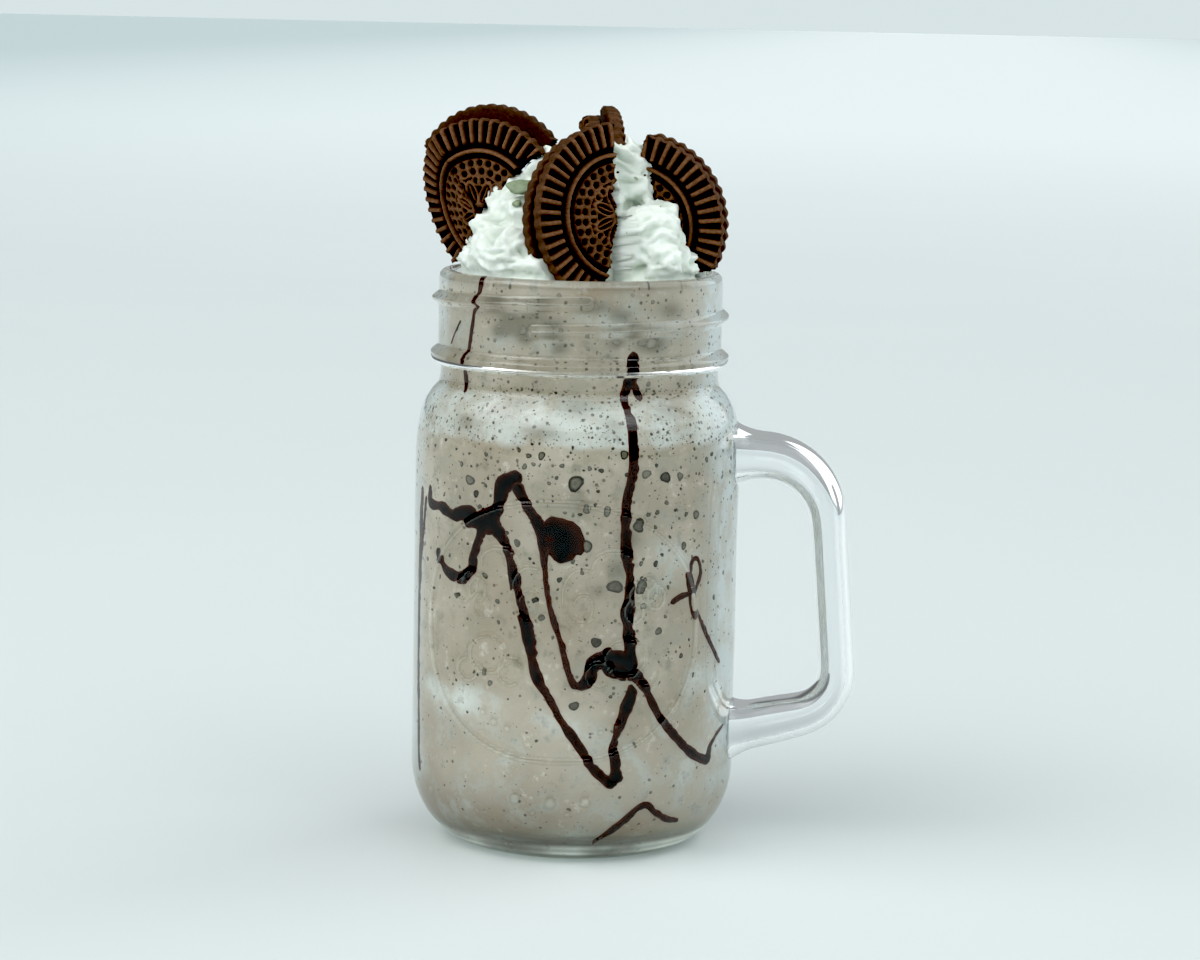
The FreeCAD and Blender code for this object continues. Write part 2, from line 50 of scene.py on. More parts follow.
# ---------------------------------------------------------------- sizes of the glass
BODY_RADIUS = 38.9
FOOT_RADIUS = 25.0
HEEL_HEIGHT = 18.8
HEEL_FOOT_BEND = 10.8
BASE_GLASS = 8.0
WALL = 3.2
SHOULDER_START = 93.0
SHOULDER_BEND = 50.0
SHOULDER_TURN = math.radians(10.4)
THROAT_BEND = 14.0
THROAT_TURN = math.radians(45)
NECK_BEND = 3.5
NECK_RADIUS = 33.8
RIM_HEIGHT = 137.0
LIP_OUTER_BEND = 1.8
LIP_INNER_BEND = 1.4
BEAD_HEIGHT = 117.0
BEAD_HALF = 2.6
BEAD_STAND = 2.0
THREAD_START = (-11.5, 125.0)
THREAD_TURN = 381.0
THREAD_PITCH = 6.4
THREAD_HALF = 2.0
THREAD_STAND = 1.7
OVAL_HEIGHT = 56.0
OVAL_HALF = (31.0, 30.2)
OVAL_STAND = 0.6
DRINK_HEIGHT = 136.0
INTO_WALL = 0.15
COOKIE_RADIUS = 21.95
WAFER_THICKNESS = 3.0
RELIEF_HEIGHT = 0.7
GROOVE_DEPTH = 0.45
FILLING_THICKNESS = 2.0
RIDGE_COUNT = 48


# ---------------------------------------------------------------- helpers for meshes
def smooth(value, low, high):
    """0 below low, 1 above high, and an S-curve between them."""
    share = np.clip((np.asarray(value, float) - low) / (high - low), 0, 1)
    return share * share * (3 - 2 * share)


def bend_points(start, stop, bend, step):
    """Points from start to just before stop, on a line or an arc. A minus bend is clockwise."""
    start, stop = np.array(start, float), np.array(stop, float)
    chord = stop - start
    length = np.linalg.norm(chord)
    if bend is None:
        count = max(1, round(length / step))
        return [start + chord * index / count for index in range(count)]
    hand = math.copysign(1, bend)
    side = np.array([-chord[1], chord[0]]) / length * hand
    centre = (start + stop) / 2 + side * math.sqrt(max(bend**2 - (length / 2) ** 2, 0))
    angle = 2 * math.asin(min(1, length / 2 / abs(bend))) * hand
    count = max(1, round(abs(angle * bend) / step))
    points = []
    for index in range(count):
        turn = angle * index / count
        spin = np.array([[math.cos(turn), -math.sin(turn)], [math.sin(turn), math.cos(turn)]])
        points.append(centre + spin @ (start - centre))
    return points


def run(corners):
    """An open outline as points. A corner is r, z, then the bend and the step to the next."""
    points = []
    for corner, after in zip(corners, corners[1:]):
        points += bend_points(corner[:2], after[:2], corner[2], corner[3])
    return np.array(points + [np.array(corners[-1][:2], float)])


def backwards(corners):
    """The same corners travelled the other way."""
    result = []
    for index in range(len(corners) - 1, -1, -1):
        bend, step = (corners[index - 1][2:] if index else (None, 1.0))
        result.append((*corners[index][:2], -bend if bend else None, step))
    return result


def glass_curve(inset, lift, top, steps):
    """Half outline of the glass from the foot to the neck, moved inwards by an inset.

    Steps are for the heel, the straight body, the shoulder and the neck.
    """
    heel, body, shoulder, neck = steps
    reach = BODY_RADIUS - FOOT_RADIUS
    wall_bend = reach**2 + HEEL_HEIGHT**2 - 2 * HEEL_HEIGHT * HEEL_FOOT_BEND
    wall_bend /= 2 * (reach - HEEL_FOOT_BEND)
    heel_gap = wall_bend - HEEL_FOOT_BEND
    foot_bend = HEEL_FOOT_BEND - inset
    turn_1, turn_2 = SHOULDER_TURN, THROAT_TURN
    shoulder_r = BODY_RADIUS - SHOULDER_BEND * (1 - math.cos(turn_1))
    shoulder_z = SHOULDER_START + SHOULDER_BEND * math.sin(turn_1)
    throat_r = shoulder_r + THROAT_BEND * (math.cos(turn_2) - math.cos(turn_1))
    throat_z = shoulder_z + THROAT_BEND * (math.sin(turn_2) - math.sin(turn_1))
    waist_r = throat_r - NECK_BEND * (1 - math.cos(turn_2))
    waist_z = throat_z + NECK_BEND * math.sin(turn_2)
    return [
        (FOOT_RADIUS, lift, foot_bend, heel),
        (
            FOOT_RADIUS - foot_bend * (reach - wall_bend) / heel_gap,
            foot_bend - foot_bend * (HEEL_HEIGHT - HEEL_FOOT_BEND) / heel_gap + lift,
            wall_bend - inset,
            heel,
        ),
        (BODY_RADIUS - inset, HEEL_HEIGHT - inset + lift, None, body),
        (BODY_RADIUS - inset, SHOULDER_START, SHOULDER_BEND - inset, shoulder),
        (
            shoulder_r - inset * math.cos(turn_1),
            shoulder_z - inset * math.sin(turn_1),
            THROAT_BEND - inset,
            shoulder,
        ),
        (
            throat_r - inset * math.cos(turn_2),
            throat_z - inset * math.sin(turn_2),
            -(NECK_BEND + inset),
            shoulder,
        ),
        (waist_r - inset, waist_z, None, neck),
        (waist_r - inset, top, None, neck),
    ]


def outward(points):
    """Unit normals of an outline that runs up the outside."""
    along = np.gradient(points, axis=0)
    along /= np.linalg.norm(along, axis=1)[:, None]
    return np.stack([along[:, 1], -along[:, 0]], axis=1)


def new_object(name, verts, faces, smooth_faces=True):
    """Mesh object from points in millimetres."""
    mesh = bpy.data.meshes.new(name)
    mesh.from_pydata((np.asarray(verts, float) * MM).tolist(), [], faces)
    mesh.validate()
    if smooth_faces:
        mesh.shade_smooth()
    item = bpy.data.objects.new(name, mesh)
    bpy.context.scene.collection.objects.link(item)
    return item


def paint(item, name, values):
    """A number at each vertex, for the material to read."""
    layer = item.data.attributes.new(name, "FLOAT", "POINT")
    layer.data.foreach_set("value", np.asarray(values, np.float32).ravel())


def grid_faces(rows, columns, first=0, closed=False):
    """Quads of a grid of points stored row by row. Closed joins the last column to the first."""
    index = np.arange(rows * columns).reshape(rows, columns) + first
    after = np.roll(index, -1, axis=1)
    if not closed:
        index, after = index[:, :-1], after[:, :-1]
    quads = [index[:-1], after[:-1], after[1:], index[1:]]
    return np.stack([part.ravel() for part in quads], axis=1).tolist()


def turned(name, points, azimuths, radii=None, heights=None):
    """Closed surface of revolution whose outline starts and ends on the axis."""
    ring = points[1:-1]
    angle = np.radians(azimuths)
    r = ring[:, :1] * np.ones_like(angle) if radii is None else radii[1:-1]
    z = ring[:, 1:] * np.ones_like(angle) if heights is None else heights[1:-1]
    grid = np.stack([r * np.sin(angle), -r * np.cos(angle), z], axis=2).reshape(-1, 3)
    verts = np.vstack([grid, [[0, 0, points[0, 1]], [0, 0, points[-1, 1]]]])
    rows, columns = len(ring), len(azimuths)
    faces = grid_faces(rows, columns, closed=True)
    low, high = rows * columns, rows * columns + 1
    last = (rows - 1) * columns
    for index in range(columns):
        after = (index + 1) % columns
        faces.append([low, after, index])
        faces.append([high, last + index, last + after])
    return new_object(name, verts, faces)


def applied(item, *extra):
    """The object's mesh with its modifiers applied. Extra objects are removed."""
    graph = bpy.context.evaluated_depsgraph_get()
    mesh = bpy.data.meshes.new_from_object(item.evaluated_get(graph))
    item.modifiers.clear()
    item.data = mesh
    mesh.shade_smooth()
    for other in extra:
        bpy.data.objects.remove(other)
    return item


def give(item, material, slot_name, *nodes):
    """Finish a piece: its material, its body and the CAD nodes it stands for. Its slot name is not used."""
    item.data.materials.clear()
    item.data.materials.append(material)
    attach(item, "root")
    if nodes:
        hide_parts(*nodes)
    return item


# ---------------------------------------------------------------- helpers for materials
class Nodes:
    """Short way to build a node tree."""

    def __init__(self, tree):
        self.tree = tree
        tree.nodes.clear()

    def add(self, kind, settings=None, **inputs):
        """A node with its settings, and its inputs set or linked by name."""
        node = self.tree.nodes.new(kind)
        for key, content in (settings or {}).items():
            setattr(node, key, content)
        for key, content in inputs.items():
            self.put(node.inputs[key.replace("_", " ")], content)
        return node

    def put(self, socket, content):
        if isinstance(content, bpy.types.NodeSocket):
            self.tree.links.new(content, socket)
        else:
            socket.default_value = content

    def math(self, operation, *values):
        node = self.tree.nodes.new("ShaderNodeMath")
        node.operation = operation
        for index, content in enumerate(values):
            self.put(node.inputs[index], content)
        return node.outputs[0]

    def ramp(self, value, stops):
        """Colour ramp with stops of position and colour or grey."""
        node = self.tree.nodes.new("ShaderNodeValToRGB")
        self.put(node.inputs[0], value)
        while len(node.color_ramp.elements) < len(stops):
            node.color_ramp.elements.new(0.5)
        for element, (place, colour) in zip(node.color_ramp.elements, stops):
            element.position = place
            grey = isinstance(colour, (int, float))
            element.color = (colour,) * 3 + (1,) if grey else (*colour, 1)
        return node.outputs["Color"]

    def mix(self, share, first, second, blend="MIX"):
        node = self.tree.nodes.new("ShaderNodeMix")
        node.data_type = "RGBA"
        node.blend_type = blend
        for index, content in ((0, share), (6, first), (7, second)):
            if isinstance(content, tuple) and len(content) == 3:
                content = (*content, 1)
            self.put(node.inputs[index], content)
        return node.outputs[2]

    def range(self, value, low, high, to_low=0.0, to_high=1.0):
        node = self.add("ShaderNodeMapRange", {"interpolation_type": "SMOOTHSTEP"}, Value=value)
        for key, content in (("From Min", low), ("From Max", high)):
            self.put(node.inputs[key], content)
        self.put(node.inputs["To Min"], to_low)
        self.put(node.inputs["To Max"], to_high)
        return node.outputs[0]

    def noise(self, vector, scale, detail=3.0, roughness=0.5):
        node = self.add(
            "ShaderNodeTexNoise", Vector=vector, Scale=scale, Detail=detail, Roughness=roughness
        )
        return node.outputs["Fac"]

    def attribute(self, name):
        return self.add("ShaderNodeAttribute", {"attribute_name": name}).outputs["Fac"]

    def bump(self, height, distance, strength=1.0):
        node = self.add("ShaderNodeBump", Strength=strength, Distance=distance, Height=height)
        return node.outputs["Normal"]


def new_material(name):
    """An empty material with the object's own coordinates, in metres."""
    material = bpy.data.materials.new(name)
    material.use_nodes = True
    nodes = Nodes(material.node_tree)
    where = nodes.add("ShaderNodeTexCoord").outputs["Object"]
    return material, nodes, where


def surface(nodes, shader):
    """Plug a shader into the material's output."""
    nodes.add("ShaderNodeOutputMaterial", Surface=shader)


def glass_material():
    """Clear pressed glass with a faint green tint, which lets lamps through to the drink. The foot gets a
    painted glow and painted dark green outlines, and the pressed lines get painted highlights and shade.
    """
    material, nodes, where = new_material("clear_glass")
    ripple = nodes.noise(where, 90.0, 2.0)
    smear = nodes.noise(where, 400.0, 3.0)
    height = nodes.add("ShaderNodeSeparateXYZ", Vector=where).outputs[2]
    # painted light at the foot: ring, streaked, is a painted glow in bands of the foot ring, and dark tints
    # outlines there dark green as painted shade
    streak = nodes.range(nodes.noise(where, 60.0, 3.0), 0.35, 0.7, 0.15, 1.0)
    ring = nodes.ramp(nodes.range(height, 0.0, 0.008), [
        (0.0, 0.0), (0.14, 0.1), (0.25, 1.0), (0.42, 0.5), (0.55, 0.9), (0.75, 0.1), (1.0, 0.0)])
    dark = nodes.ramp(nodes.range(height, 0.0, 0.008), [
        (0.0, 0.7), (0.12, 0.75), (0.25, 0.1), (0.4, 0.55), (0.55, 0.2), (0.8, 0.35), (1.0, 0.0)])
    tint = nodes.mix(smear, (0.94, 0.958, 0.97), (0.965, 0.978, 0.985))
    # pressed lines: painted highlight on their crests and painted shade on their flanks, where the raised
    # glass catches the light and bends it away
    press = nodes.attribute("press")
    crest_painted_highlight = nodes.ramp(press, [(0.0, 0.0), (0.55, 0.0), (0.8, 1.0), (1.0, 0.8)])
    flank_painted_shade = nodes.ramp(press, [(0.0, 0.0), (0.22, 0.0), (0.4, 1.0), (0.6, 0.2), (1.0, 0.0)])
    tint = nodes.mix(flank_painted_shade, tint, (0.70, 0.72, 0.70))
    shader = nodes.add(
        "ShaderNodeBsdfPrincipled",
        Base_Color=nodes.mix(dark, tint, (0.30, 0.43, 0.38)),
        # the emission is painted light: a glow at the foot and a highlight on the crests of the pressed lines
        Emission_Color=(0.80, 0.95, 0.88, 1),
        Emission_Strength=nodes.math("ADD", nodes.math("MULTIPLY", ring, nodes.math("MULTIPLY", streak, 0.4)),
                                     nodes.math("MULTIPLY", crest_painted_highlight, 0.08)),
        Roughness=nodes.range(smear, 0.45, 0.8, 0.0, 0.04),
        IOR=1.5,
        Transmission_Weight=1.0,
        Normal=nodes.bump(ripple, 0.0004, 0.35),
    )
    clear = nodes.add("ShaderNodeBsdfTransparent", Color=(0.86, 0.9, 0.89, 1))
    shadow = nodes.add("ShaderNodeLightPath").outputs["Is Shadow Ray"]
    both = nodes.tree.nodes.new("ShaderNodeMixShader")
    nodes.put(both.inputs[0], shadow)
    nodes.put(both.inputs[1], shader.outputs[0])
    nodes.put(both.inputs[2], clear.outputs[0])
    surface(nodes, both.outputs[0])
    return material


def drink_material():
    """Greige milkshake full of air: foamy at the top, browner at the foot. Light painted on it: reflections
    at the sides, shade of air and hollows, and fill light low down.
    """
    material, nodes, where = new_material("milkshake")
    wide = nodes.noise(where, 45.0, 3.0)
    fine = nodes.noise(where, 420.0, 4.0, 0.6)
    foam_and_painted_fill = nodes.attribute("foam_and_painted_fill")
    brown = nodes.attribute("brown")
    airy = nodes.attribute("airy")
    cloud = nodes.noise(where, 130.0, 4.0, 0.6)
    grit = nodes.noise(where, 260.0, 5.0, 0.7)
    base = nodes.mix(nodes.range(wide, 0.3, 0.7), (0.45, 0.39, 0.305), (0.60, 0.545, 0.45))
    base = nodes.mix(nodes.range(cloud, 0.42, 0.72, 0.0, 0.75), base, (0.36, 0.325, 0.245))
    base = nodes.mix(brown, base, (0.42, 0.33, 0.24))
    # foam whitens the drink in patches; low down the same attribute is painted fill light
    patchy = nodes.math("ADD", nodes.math("MULTIPLY", foam_and_painted_fill, 0.75), nodes.math("MULTIPLY", cloud, 1.5))
    patchy = nodes.math("ADD", patchy, nodes.math("MULTIPLY", grit, 0.35))
    base = nodes.mix(nodes.range(patchy, 1.02, 1.75), base, (0.76, 0.79, 0.745))
    base = nodes.mix(nodes.range(grit, 0.52, 0.72, 0.0, 0.55), base, (0.24, 0.215, 0.16))
    base = nodes.mix(nodes.range(grit, 0.3, 0.42, 0.45, 0.0), base, (0.80, 0.79, 0.72))
    # painted shade where air and hollows show through the glass
    base = nodes.mix(nodes.attribute("painted_air_shade"), base, (0.17, 0.155, 0.11))
    # painted reflection: the sides of the drink turn pale blue-white, as if bright surroundings reflected in
    # the glass there
    side = nodes.math("MULTIPLY", nodes.attribute("side"), nodes.range(cloud, 0.3, 0.6, 0.25, 1.0))
    base = nodes.mix(side, base, (0.72, 0.79, 0.80))
    height = fine
    # small air bubbles: dark spots of painted shade, also pressed in as shallow pits by the bump
    for scale, radius, weight in ((620.0, 0.30, 0.75), (1150.0, 0.27, 0.6)):
        cell = nodes.add("ShaderNodeTexVoronoi", Vector=where, Scale=scale)
        chance = nodes.add("ShaderNodeSeparateColor", Color=cell.outputs["Color"]).outputs[0]
        present = nodes.math("LESS_THAN", chance, nodes.math("MULTIPLY", airy, 0.5))
        spot = nodes.range(cell.outputs["Distance"], radius * 0.6, radius, 1.0, 0.0)
        spot = nodes.math("MULTIPLY", spot, present)
        base = nodes.mix(nodes.math("MULTIPLY", spot, weight), base, (0.10, 0.09, 0.065))
        height = nodes.math("SUBTRACT", height, spot)
    shader = nodes.add(
        "ShaderNodeBsdfPrincipled",
        Base_Color=base,
        Roughness=nodes.range(fine, 0.3, 0.8, 0.4, 0.6),
        Specular_IOR_Level=0.06,
        Subsurface_Weight=0.15,
        Subsurface_Radius=(0.004, 0.003, 0.002),
        Subsurface_Scale=0.5,
        Normal=nodes.bump(height, 0.0002, 0.4),
    )
    surface(nodes, shader.outputs[0])
    return material


def bubble_material():
    """Air held against the glass, drawn in painted shade: dark rim, paler mottled middle, and a pale outer
    edge that is part foam, part painted highlight.
    """
    material, nodes, where = new_material("air_bubble")
    rim = nodes.attribute("rim")
    tone = nodes.attribute("tone")
    mottle = nodes.noise(where, 900.0, 3.0)
    # painted shade inside the bubble, darker at random by tone
    inside = nodes.mix(mottle, (0.085, 0.076, 0.05), (0.27, 0.255, 0.195))
    inside = nodes.mix(tone, inside, (0.04, 0.034, 0.02))
    faint = nodes.attribute("faint")
    # painted shade: a near-black ring inside the rim
    edge = nodes.ramp(rim, [(0.0, 0.0), (0.5, 0.0), (0.75, 1.0), (0.88, 1.0), (1.0, 0.2)])
    base = nodes.mix(edge, inside, (0.025, 0.02, 0.012))
    # pale outer edge: partly foam, partly painted highlight
    base = nodes.mix(nodes.range(rim, 0.9, 1.0, 0.0, 0.75), base, (0.66, 0.63, 0.55))
    base = nodes.mix(faint, base, (0.50, 0.47, 0.39))
    shader = nodes.add(
        "ShaderNodeBsdfPrincipled",
        Base_Color=base,
        Specular_IOR_Level=0.15,
        Roughness=nodes.range(mottle, 0.2, 0.8, 0.15, 0.4),
        Normal=nodes.bump(mottle, 0.0001, 0.3),
    )
    surface(nodes, shader.outputs[0])
    return material


def sauce_material():
    """Dark chocolate sauce, red-brown where it is thin."""
    material, nodes, where = new_material("chocolate_sauce")
    thin = nodes.attribute("thin")
    streak = nodes.noise(where, 500.0, 3.0)
    share = nodes.math("MULTIPLY", thin, nodes.range(streak, 0.25, 0.7, 0.5, 1.0))
    base = nodes.mix(share, (0.003, 0.0012, 0.0009), (0.10, 0.022, 0.008))
    shader = nodes.add(
        "ShaderNodeBsdfPrincipled",
        Base_Color=base,
        Specular_IOR_Level=0.05,
        Roughness=nodes.range(streak, 0.2, 0.8, 0.12, 0.3),
        Normal=nodes.bump(streak, 0.0002, 0.3),
    )
    surface(nodes, shader.outputs[0])
    return material


def cream_material():
    """Soft whipped cream with a cool, faintly green white, and painted grey-green shade in its creases."""
    material, nodes, where = new_material("whipped_cream")
    soft = nodes.noise(where, 160.0, 3.0)
    grain = nodes.noise(where, 1400.0, 3.0)
    painted_crease_shade = nodes.attribute("painted_crease_shade")
    base = nodes.mix(soft, (0.80, 0.86, 0.79), (0.90, 0.93, 0.87))
    # painted shade: the creases go grey-green
    base = nodes.mix(painted_crease_shade, base, (0.55, 0.63, 0.52))
    shader = nodes.add(
        "ShaderNodeBsdfPrincipled",
        Base_Color=base,
        Roughness=nodes.range(grain, 0.3, 0.8, 0.35, 0.55),
        Subsurface_Weight=0.3,
        Subsurface_Radius=(0.004, 0.004, 0.003),
        Subsurface_Scale=0.4,
        Normal=nodes.bump(grain, 0.0001, 0.25),
    )
    surface(nodes, shader.outputs[0])
    return material


def biscuit_material(name, raised, sunk, grain_scale):
    """Baked biscuit: dusty brown where it stands proud, nearly black in the grooves, which is painted light
    and shade on its relief.
    """
    material, nodes, where = new_material(name)
    relief = nodes.attribute("relief")
    crumb = nodes.noise(where, grain_scale, 4.0, 0.65)
    patch = nodes.noise(where, 130.0, 3.0)
    share = nodes.math("MULTIPLY", relief, nodes.range(crumb, 0.25, 0.65, 0.45, 1.0))
    share = nodes.math("MULTIPLY", share, nodes.range(patch, 0.3, 0.7, 0.75, 1.0))
    # painted light and shade: raised parts lit, grooves in painted shade near black
    base = nodes.mix(share, sunk, raised)
    pits = nodes.add("ShaderNodeTexVoronoi", Vector=where, Scale=grain_scale * 0.8)
    height = nodes.math("ADD", crumb, nodes.range(pits.outputs["Distance"], 0.0, 0.35))
    shader = nodes.add(
        "ShaderNodeBsdfPrincipled",
        Base_Color=base,
        Roughness=nodes.range(crumb, 0.3, 0.7, 0.6, 0.85),
        Specular_IOR_Level=0.22,
        Normal=nodes.bump(height, 0.00025, 0.6),
    )
    surface(nodes, shader.outputs[0])
    return material


def filling_material():
    """Dark crumbly cookie cream."""
    material, nodes, where = new_material("cookie_filling")
    crumb = nodes.noise(where, 900.0, 5.0, 0.7)
    base = nodes.mix(nodes.range(crumb, 0.3, 0.7), (0.008, 0.004, 0.003), (0.045, 0.024, 0.016))
    shader = nodes.add(
        "ShaderNodeBsdfPrincipled",
        Base_Color=base,
        Roughness=nodes.range(crumb, 0.3, 0.7, 0.55, 0.85),
        Normal=nodes.bump(crumb, 0.0005, 0.8),
    )
    surface(nodes, shader.outputs[0])
    return material


def herb_material():
    """Grey-green leaf scrap."""
    material, nodes, where = new_material("green_herb")
    vein = nodes.noise(where, 700.0, 3.0)
    shader = nodes.add(
        "ShaderNodeBsdfPrincipled",
        Base_Color=nodes.mix(vein, (0.14, 0.19, 0.10), (0.36, 0.42, 0.28)),
        Roughness=nodes.range(vein, 0.3, 0.8, 0.4, 0.65),
        Normal=nodes.bump(vein, 0.0002, 0.5),
    )
    surface(nodes, shader.outputs[0])
    return material


# ---------------------------------------------------------------- glass jar
def segment_distance(x, y, points):
    """Distance from each place to a run of straight segments."""
    best = np.full(x.shape, 1e9)
    for (x0, y0), (x1, y1) in zip(points, points[1:]):
        dx, dy = x1 - x0, y1 - y0
        share = np.clip(((x - x0) * dx + (y - y0) * dy) / (dx * dx + dy * dy), 0, 1)
        best = np.minimum(best, np.hypot(x - x0 - share * dx, y - y0 - share * dy))
    return best


def arc(cx, cy, rx, ry, first, last, count=18):
    """Points of an elliptic arc, angles in degrees."""
    angles = np.radians(np.linspace(first, last, count))
    return list(zip(cx + rx * np.cos(angles), cy + ry * np.sin(angles)))


def pressed_lines():
    """Raised strokes pressed into the front: sprays of petals, fruit and curls."""
    lines = []
    for side in (-1, 1):
        for turn in (40, 85, 130, 175):
            dx, dz = math.cos(math.radians(turn)) * 5.2, math.sin(math.radians(turn)) * 5.2
            lines.append(arc(side * (21.5 + dx * 0.6), 61 + dz, 2.3, 2.8, 0, 360))
        lines.append(arc(side * 16.5, 50, 4.8, 4.3, 0, 360, 28))
        lines.append(arc(side * 10.5, 46.5, 3.2, 3.0, 20, 300))
        lines.append(arc(side * 22, 46, 3.0, 2.6, 100, 380))
        lines.append(arc(side * 6.0, 65, 4.4, 6.4, 60, 310, 24))
        lines.append(arc(side * 6.4, 62.5, 2.2, 3.0, -60, 170))
        lines.append(arc(side * 13.5, 72, 5.0, 3.2, 20, 200))
    return lines


PRESSED_BUMPS = [
    # distance round the body from the front, height, radius
    (-14.5, 34.5, 1.7), (-11, 33.2, 1.5), (-17.5, 36.4, 1.4), (14.5, 34.5, 1.7), (11, 33.2, 1.5),
    (-8.8, 16.8, 2.3), (-0.4, 16.3, 2.4), (7.7, 16.8, 2.3), (-4.6, 13.6, 1.2), (3.6, 13.6, 1.2),
]


def ridge(off, half):
    """Rounded ridge of height 1 that runs out softly half its width away."""
    return np.cos(np.clip(np.abs(off) / half, 0, 1) * math.pi / 2) ** 2


def outer_relief(azimuth, z, wall_r):
    """How far the outside of the glass stands proud of its plain outline."""
    stand = np.zeros(np.broadcast(azimuth, z).shape)
    azimuth, z = azimuth + stand, z + stand
    wall_r = wall_r + stand
    # bead
    stand = (NECK_RADIUS + BEAD_STAND - wall_r) * ridge(z - BEAD_HEIGHT, BEAD_HALF)
    # thread
    centre_r = NECK_RADIUS
    for lap in (0, 1):
        turned_by = np.mod(azimuth - THREAD_START[0], 360) + 360 * lap
        for shift in (0, -360):
            along = turned_by + shift
            past = np.maximum(np.maximum(-along, along - THREAD_TURN), 0) * math.radians(centre_r)
            held = np.clip(along, 0, THREAD_TURN)
            off = np.hypot(z - THREAD_START[1] - THREAD_PITCH * held / 360, past)
            stand = np.maximum(stand, THREAD_STAND * ridge(off, THREAD_HALF))
    # raised oval and the pressed decoration
    front = np.abs(azimuth) < 80
    across = BODY_RADIUS * np.sin(np.radians(azimuth))
    power = 2.4
    x, y = np.abs(across) / OVAL_HALF[0], np.abs(z - OVAL_HEIGHT) / OVAL_HALF[1]
    ring = (x**power + y**power) ** (1 / power)
    slope_x = np.divide(x, ring + 1e-9) ** (power - 1) / OVAL_HALF[0]
    slope_y = np.divide(y, ring + 1e-9) ** (power - 1) / OVAL_HALF[1]
    off = (ring - 1) / (np.hypot(slope_x, slope_y) + 1e-6)
    stand += np.where(front, OVAL_STAND * np.exp(-((off / 0.6) ** 2)), 0)
    round_way = math.radians(BODY_RADIUS) * azimuth
    near = np.where(np.abs(azimuth) < 60)
    for line in pressed_lines():
        off = segment_distance(round_way[near], z[near], line)
        stand[near] = np.maximum(stand[near], 0.6 * np.exp(-((off / 0.5) ** 2)))
    for x, y, radius in PRESSED_BUMPS:
        off = np.hypot(round_way[near] - x, z[near] - y) / radius
        stand[near] = np.maximum(stand[near], 0.6 * ridge(off, 1.0) ** 0.7)
    # slow waves of pressed glass on the body
    turn = np.radians(azimuth)
    wave = np.sin(3 * turn + z / 11) + np.sin(5 * turn - z / 7 + 1) + np.sin(2 * turn + z / 5)
    stand += 0.035 * (wave - 3) * smooth(z, 8, 25) * (1 - smooth(z, 104, 112))
    return stand


def handle_path(step=1.0):
    """The handle's middle line from the upper root round to the lower one, in x and z."""
    root = BODY_RADIUS - WALL * 0.65
    places = np.array([(root, 94.2), (59.4, 94.2), (64.4, 34.0), (root, 27.0)])
    bends = (16.0, 11.0)
    corners = [(*places[0], None, step)]
    for index, bend in enumerate(bends, start=1):
        into = places[index] - places[index - 1]
        into /= np.linalg.norm(into)
        out = places[index + 1] - places[index]
        out /= np.linalg.norm(out)
        trim = bend * math.tan(math.acos(into @ out) / 2)
        corners.append((*(places[index] - into * trim), -bend, step))
        corners.append((*(places[index] + out * trim), None, step))
    corners.append((*places[-1], None, step))
    return run(corners)


def make_handle():
    """D-shaped handle, wider where it runs into the body."""
    grip = (8.3 / 2, 12.4 / 2)
    flare_size, flare_length, swell_size = 2.75, 8.0, 3.3
    line = handle_path()
    for _ in range(6):
        line[1:-1] = (line[:-2] + 2 * line[1:-1] + line[2:]) / 4
    gaps = np.linalg.norm(np.diff(line, axis=0), axis=1)
    walked = np.concatenate([[0], np.cumsum(gaps)])
    near = np.minimum(walked, walked[-1] - walked)
    flare = np.clip(1 - near / flare_length, 0, None) ** 2
    swell = swell_size / 2 * (1 - smooth(near, 5, 38))
    level = np.clip(1 - near / (2 * flare_length), 0, None)
    tangent = np.gradient(line, axis=0)
    tangent /= np.linalg.norm(tangent, axis=1)[:, None]
    straight = np.stack([np.where(walked < walked[-1] / 2, 1.0, -1.0), 0 * walked], axis=1)
    tangent = tangent * (1 - level[:, None]) + straight * level[:, None]
    tangent /= np.linalg.norm(tangent, axis=1)[:, None]
    side = np.stack([-tangent[:, 1], tangent[:, 0]], axis=1)
    columns, power = 44, 2.25
    angle = np.linspace(0, 2 * math.pi, columns, endpoint=False)
    cross = [np.sign(f) * np.abs(f) ** (2 / power) for f in (np.cos(angle), np.sin(angle))]
    thick = (grip[0] + swell + flare_size * flare)[:, None] * cross[0]
    wide = (grip[1] + flare_size * flare)[:, None] * cross[1]
    x = line[:, :1] + side[:, :1] * thick
    z = line[:, 1:] + side[:, 1:] * thick
    verts = np.stack([x, wide, z], axis=2).reshape(-1, 3)
    rows = len(line)
    faces = grid_faces(rows, columns, closed=True)
    faces.append(list(range(columns))[::-1])
    faces.append(list(range((rows - 1) * columns, rows * columns)))
    return new_object("handle_part", verts, faces)


def vertex_places(item):
    """Vertices in millimetres."""
    spots = np.zeros(len(item.data.vertices) * 3, np.float32)
    item.data.vertices.foreach_get("co", spots)
    return spots.reshape(-1, 3) / MM


def where_on_wall(item):
    """Azimuth from the front and height of each vertex."""
    spots = vertex_places(item)
    return np.degrees(np.arctan2(spots[:, 0], -spots[:, 1])), spots[:, 2]


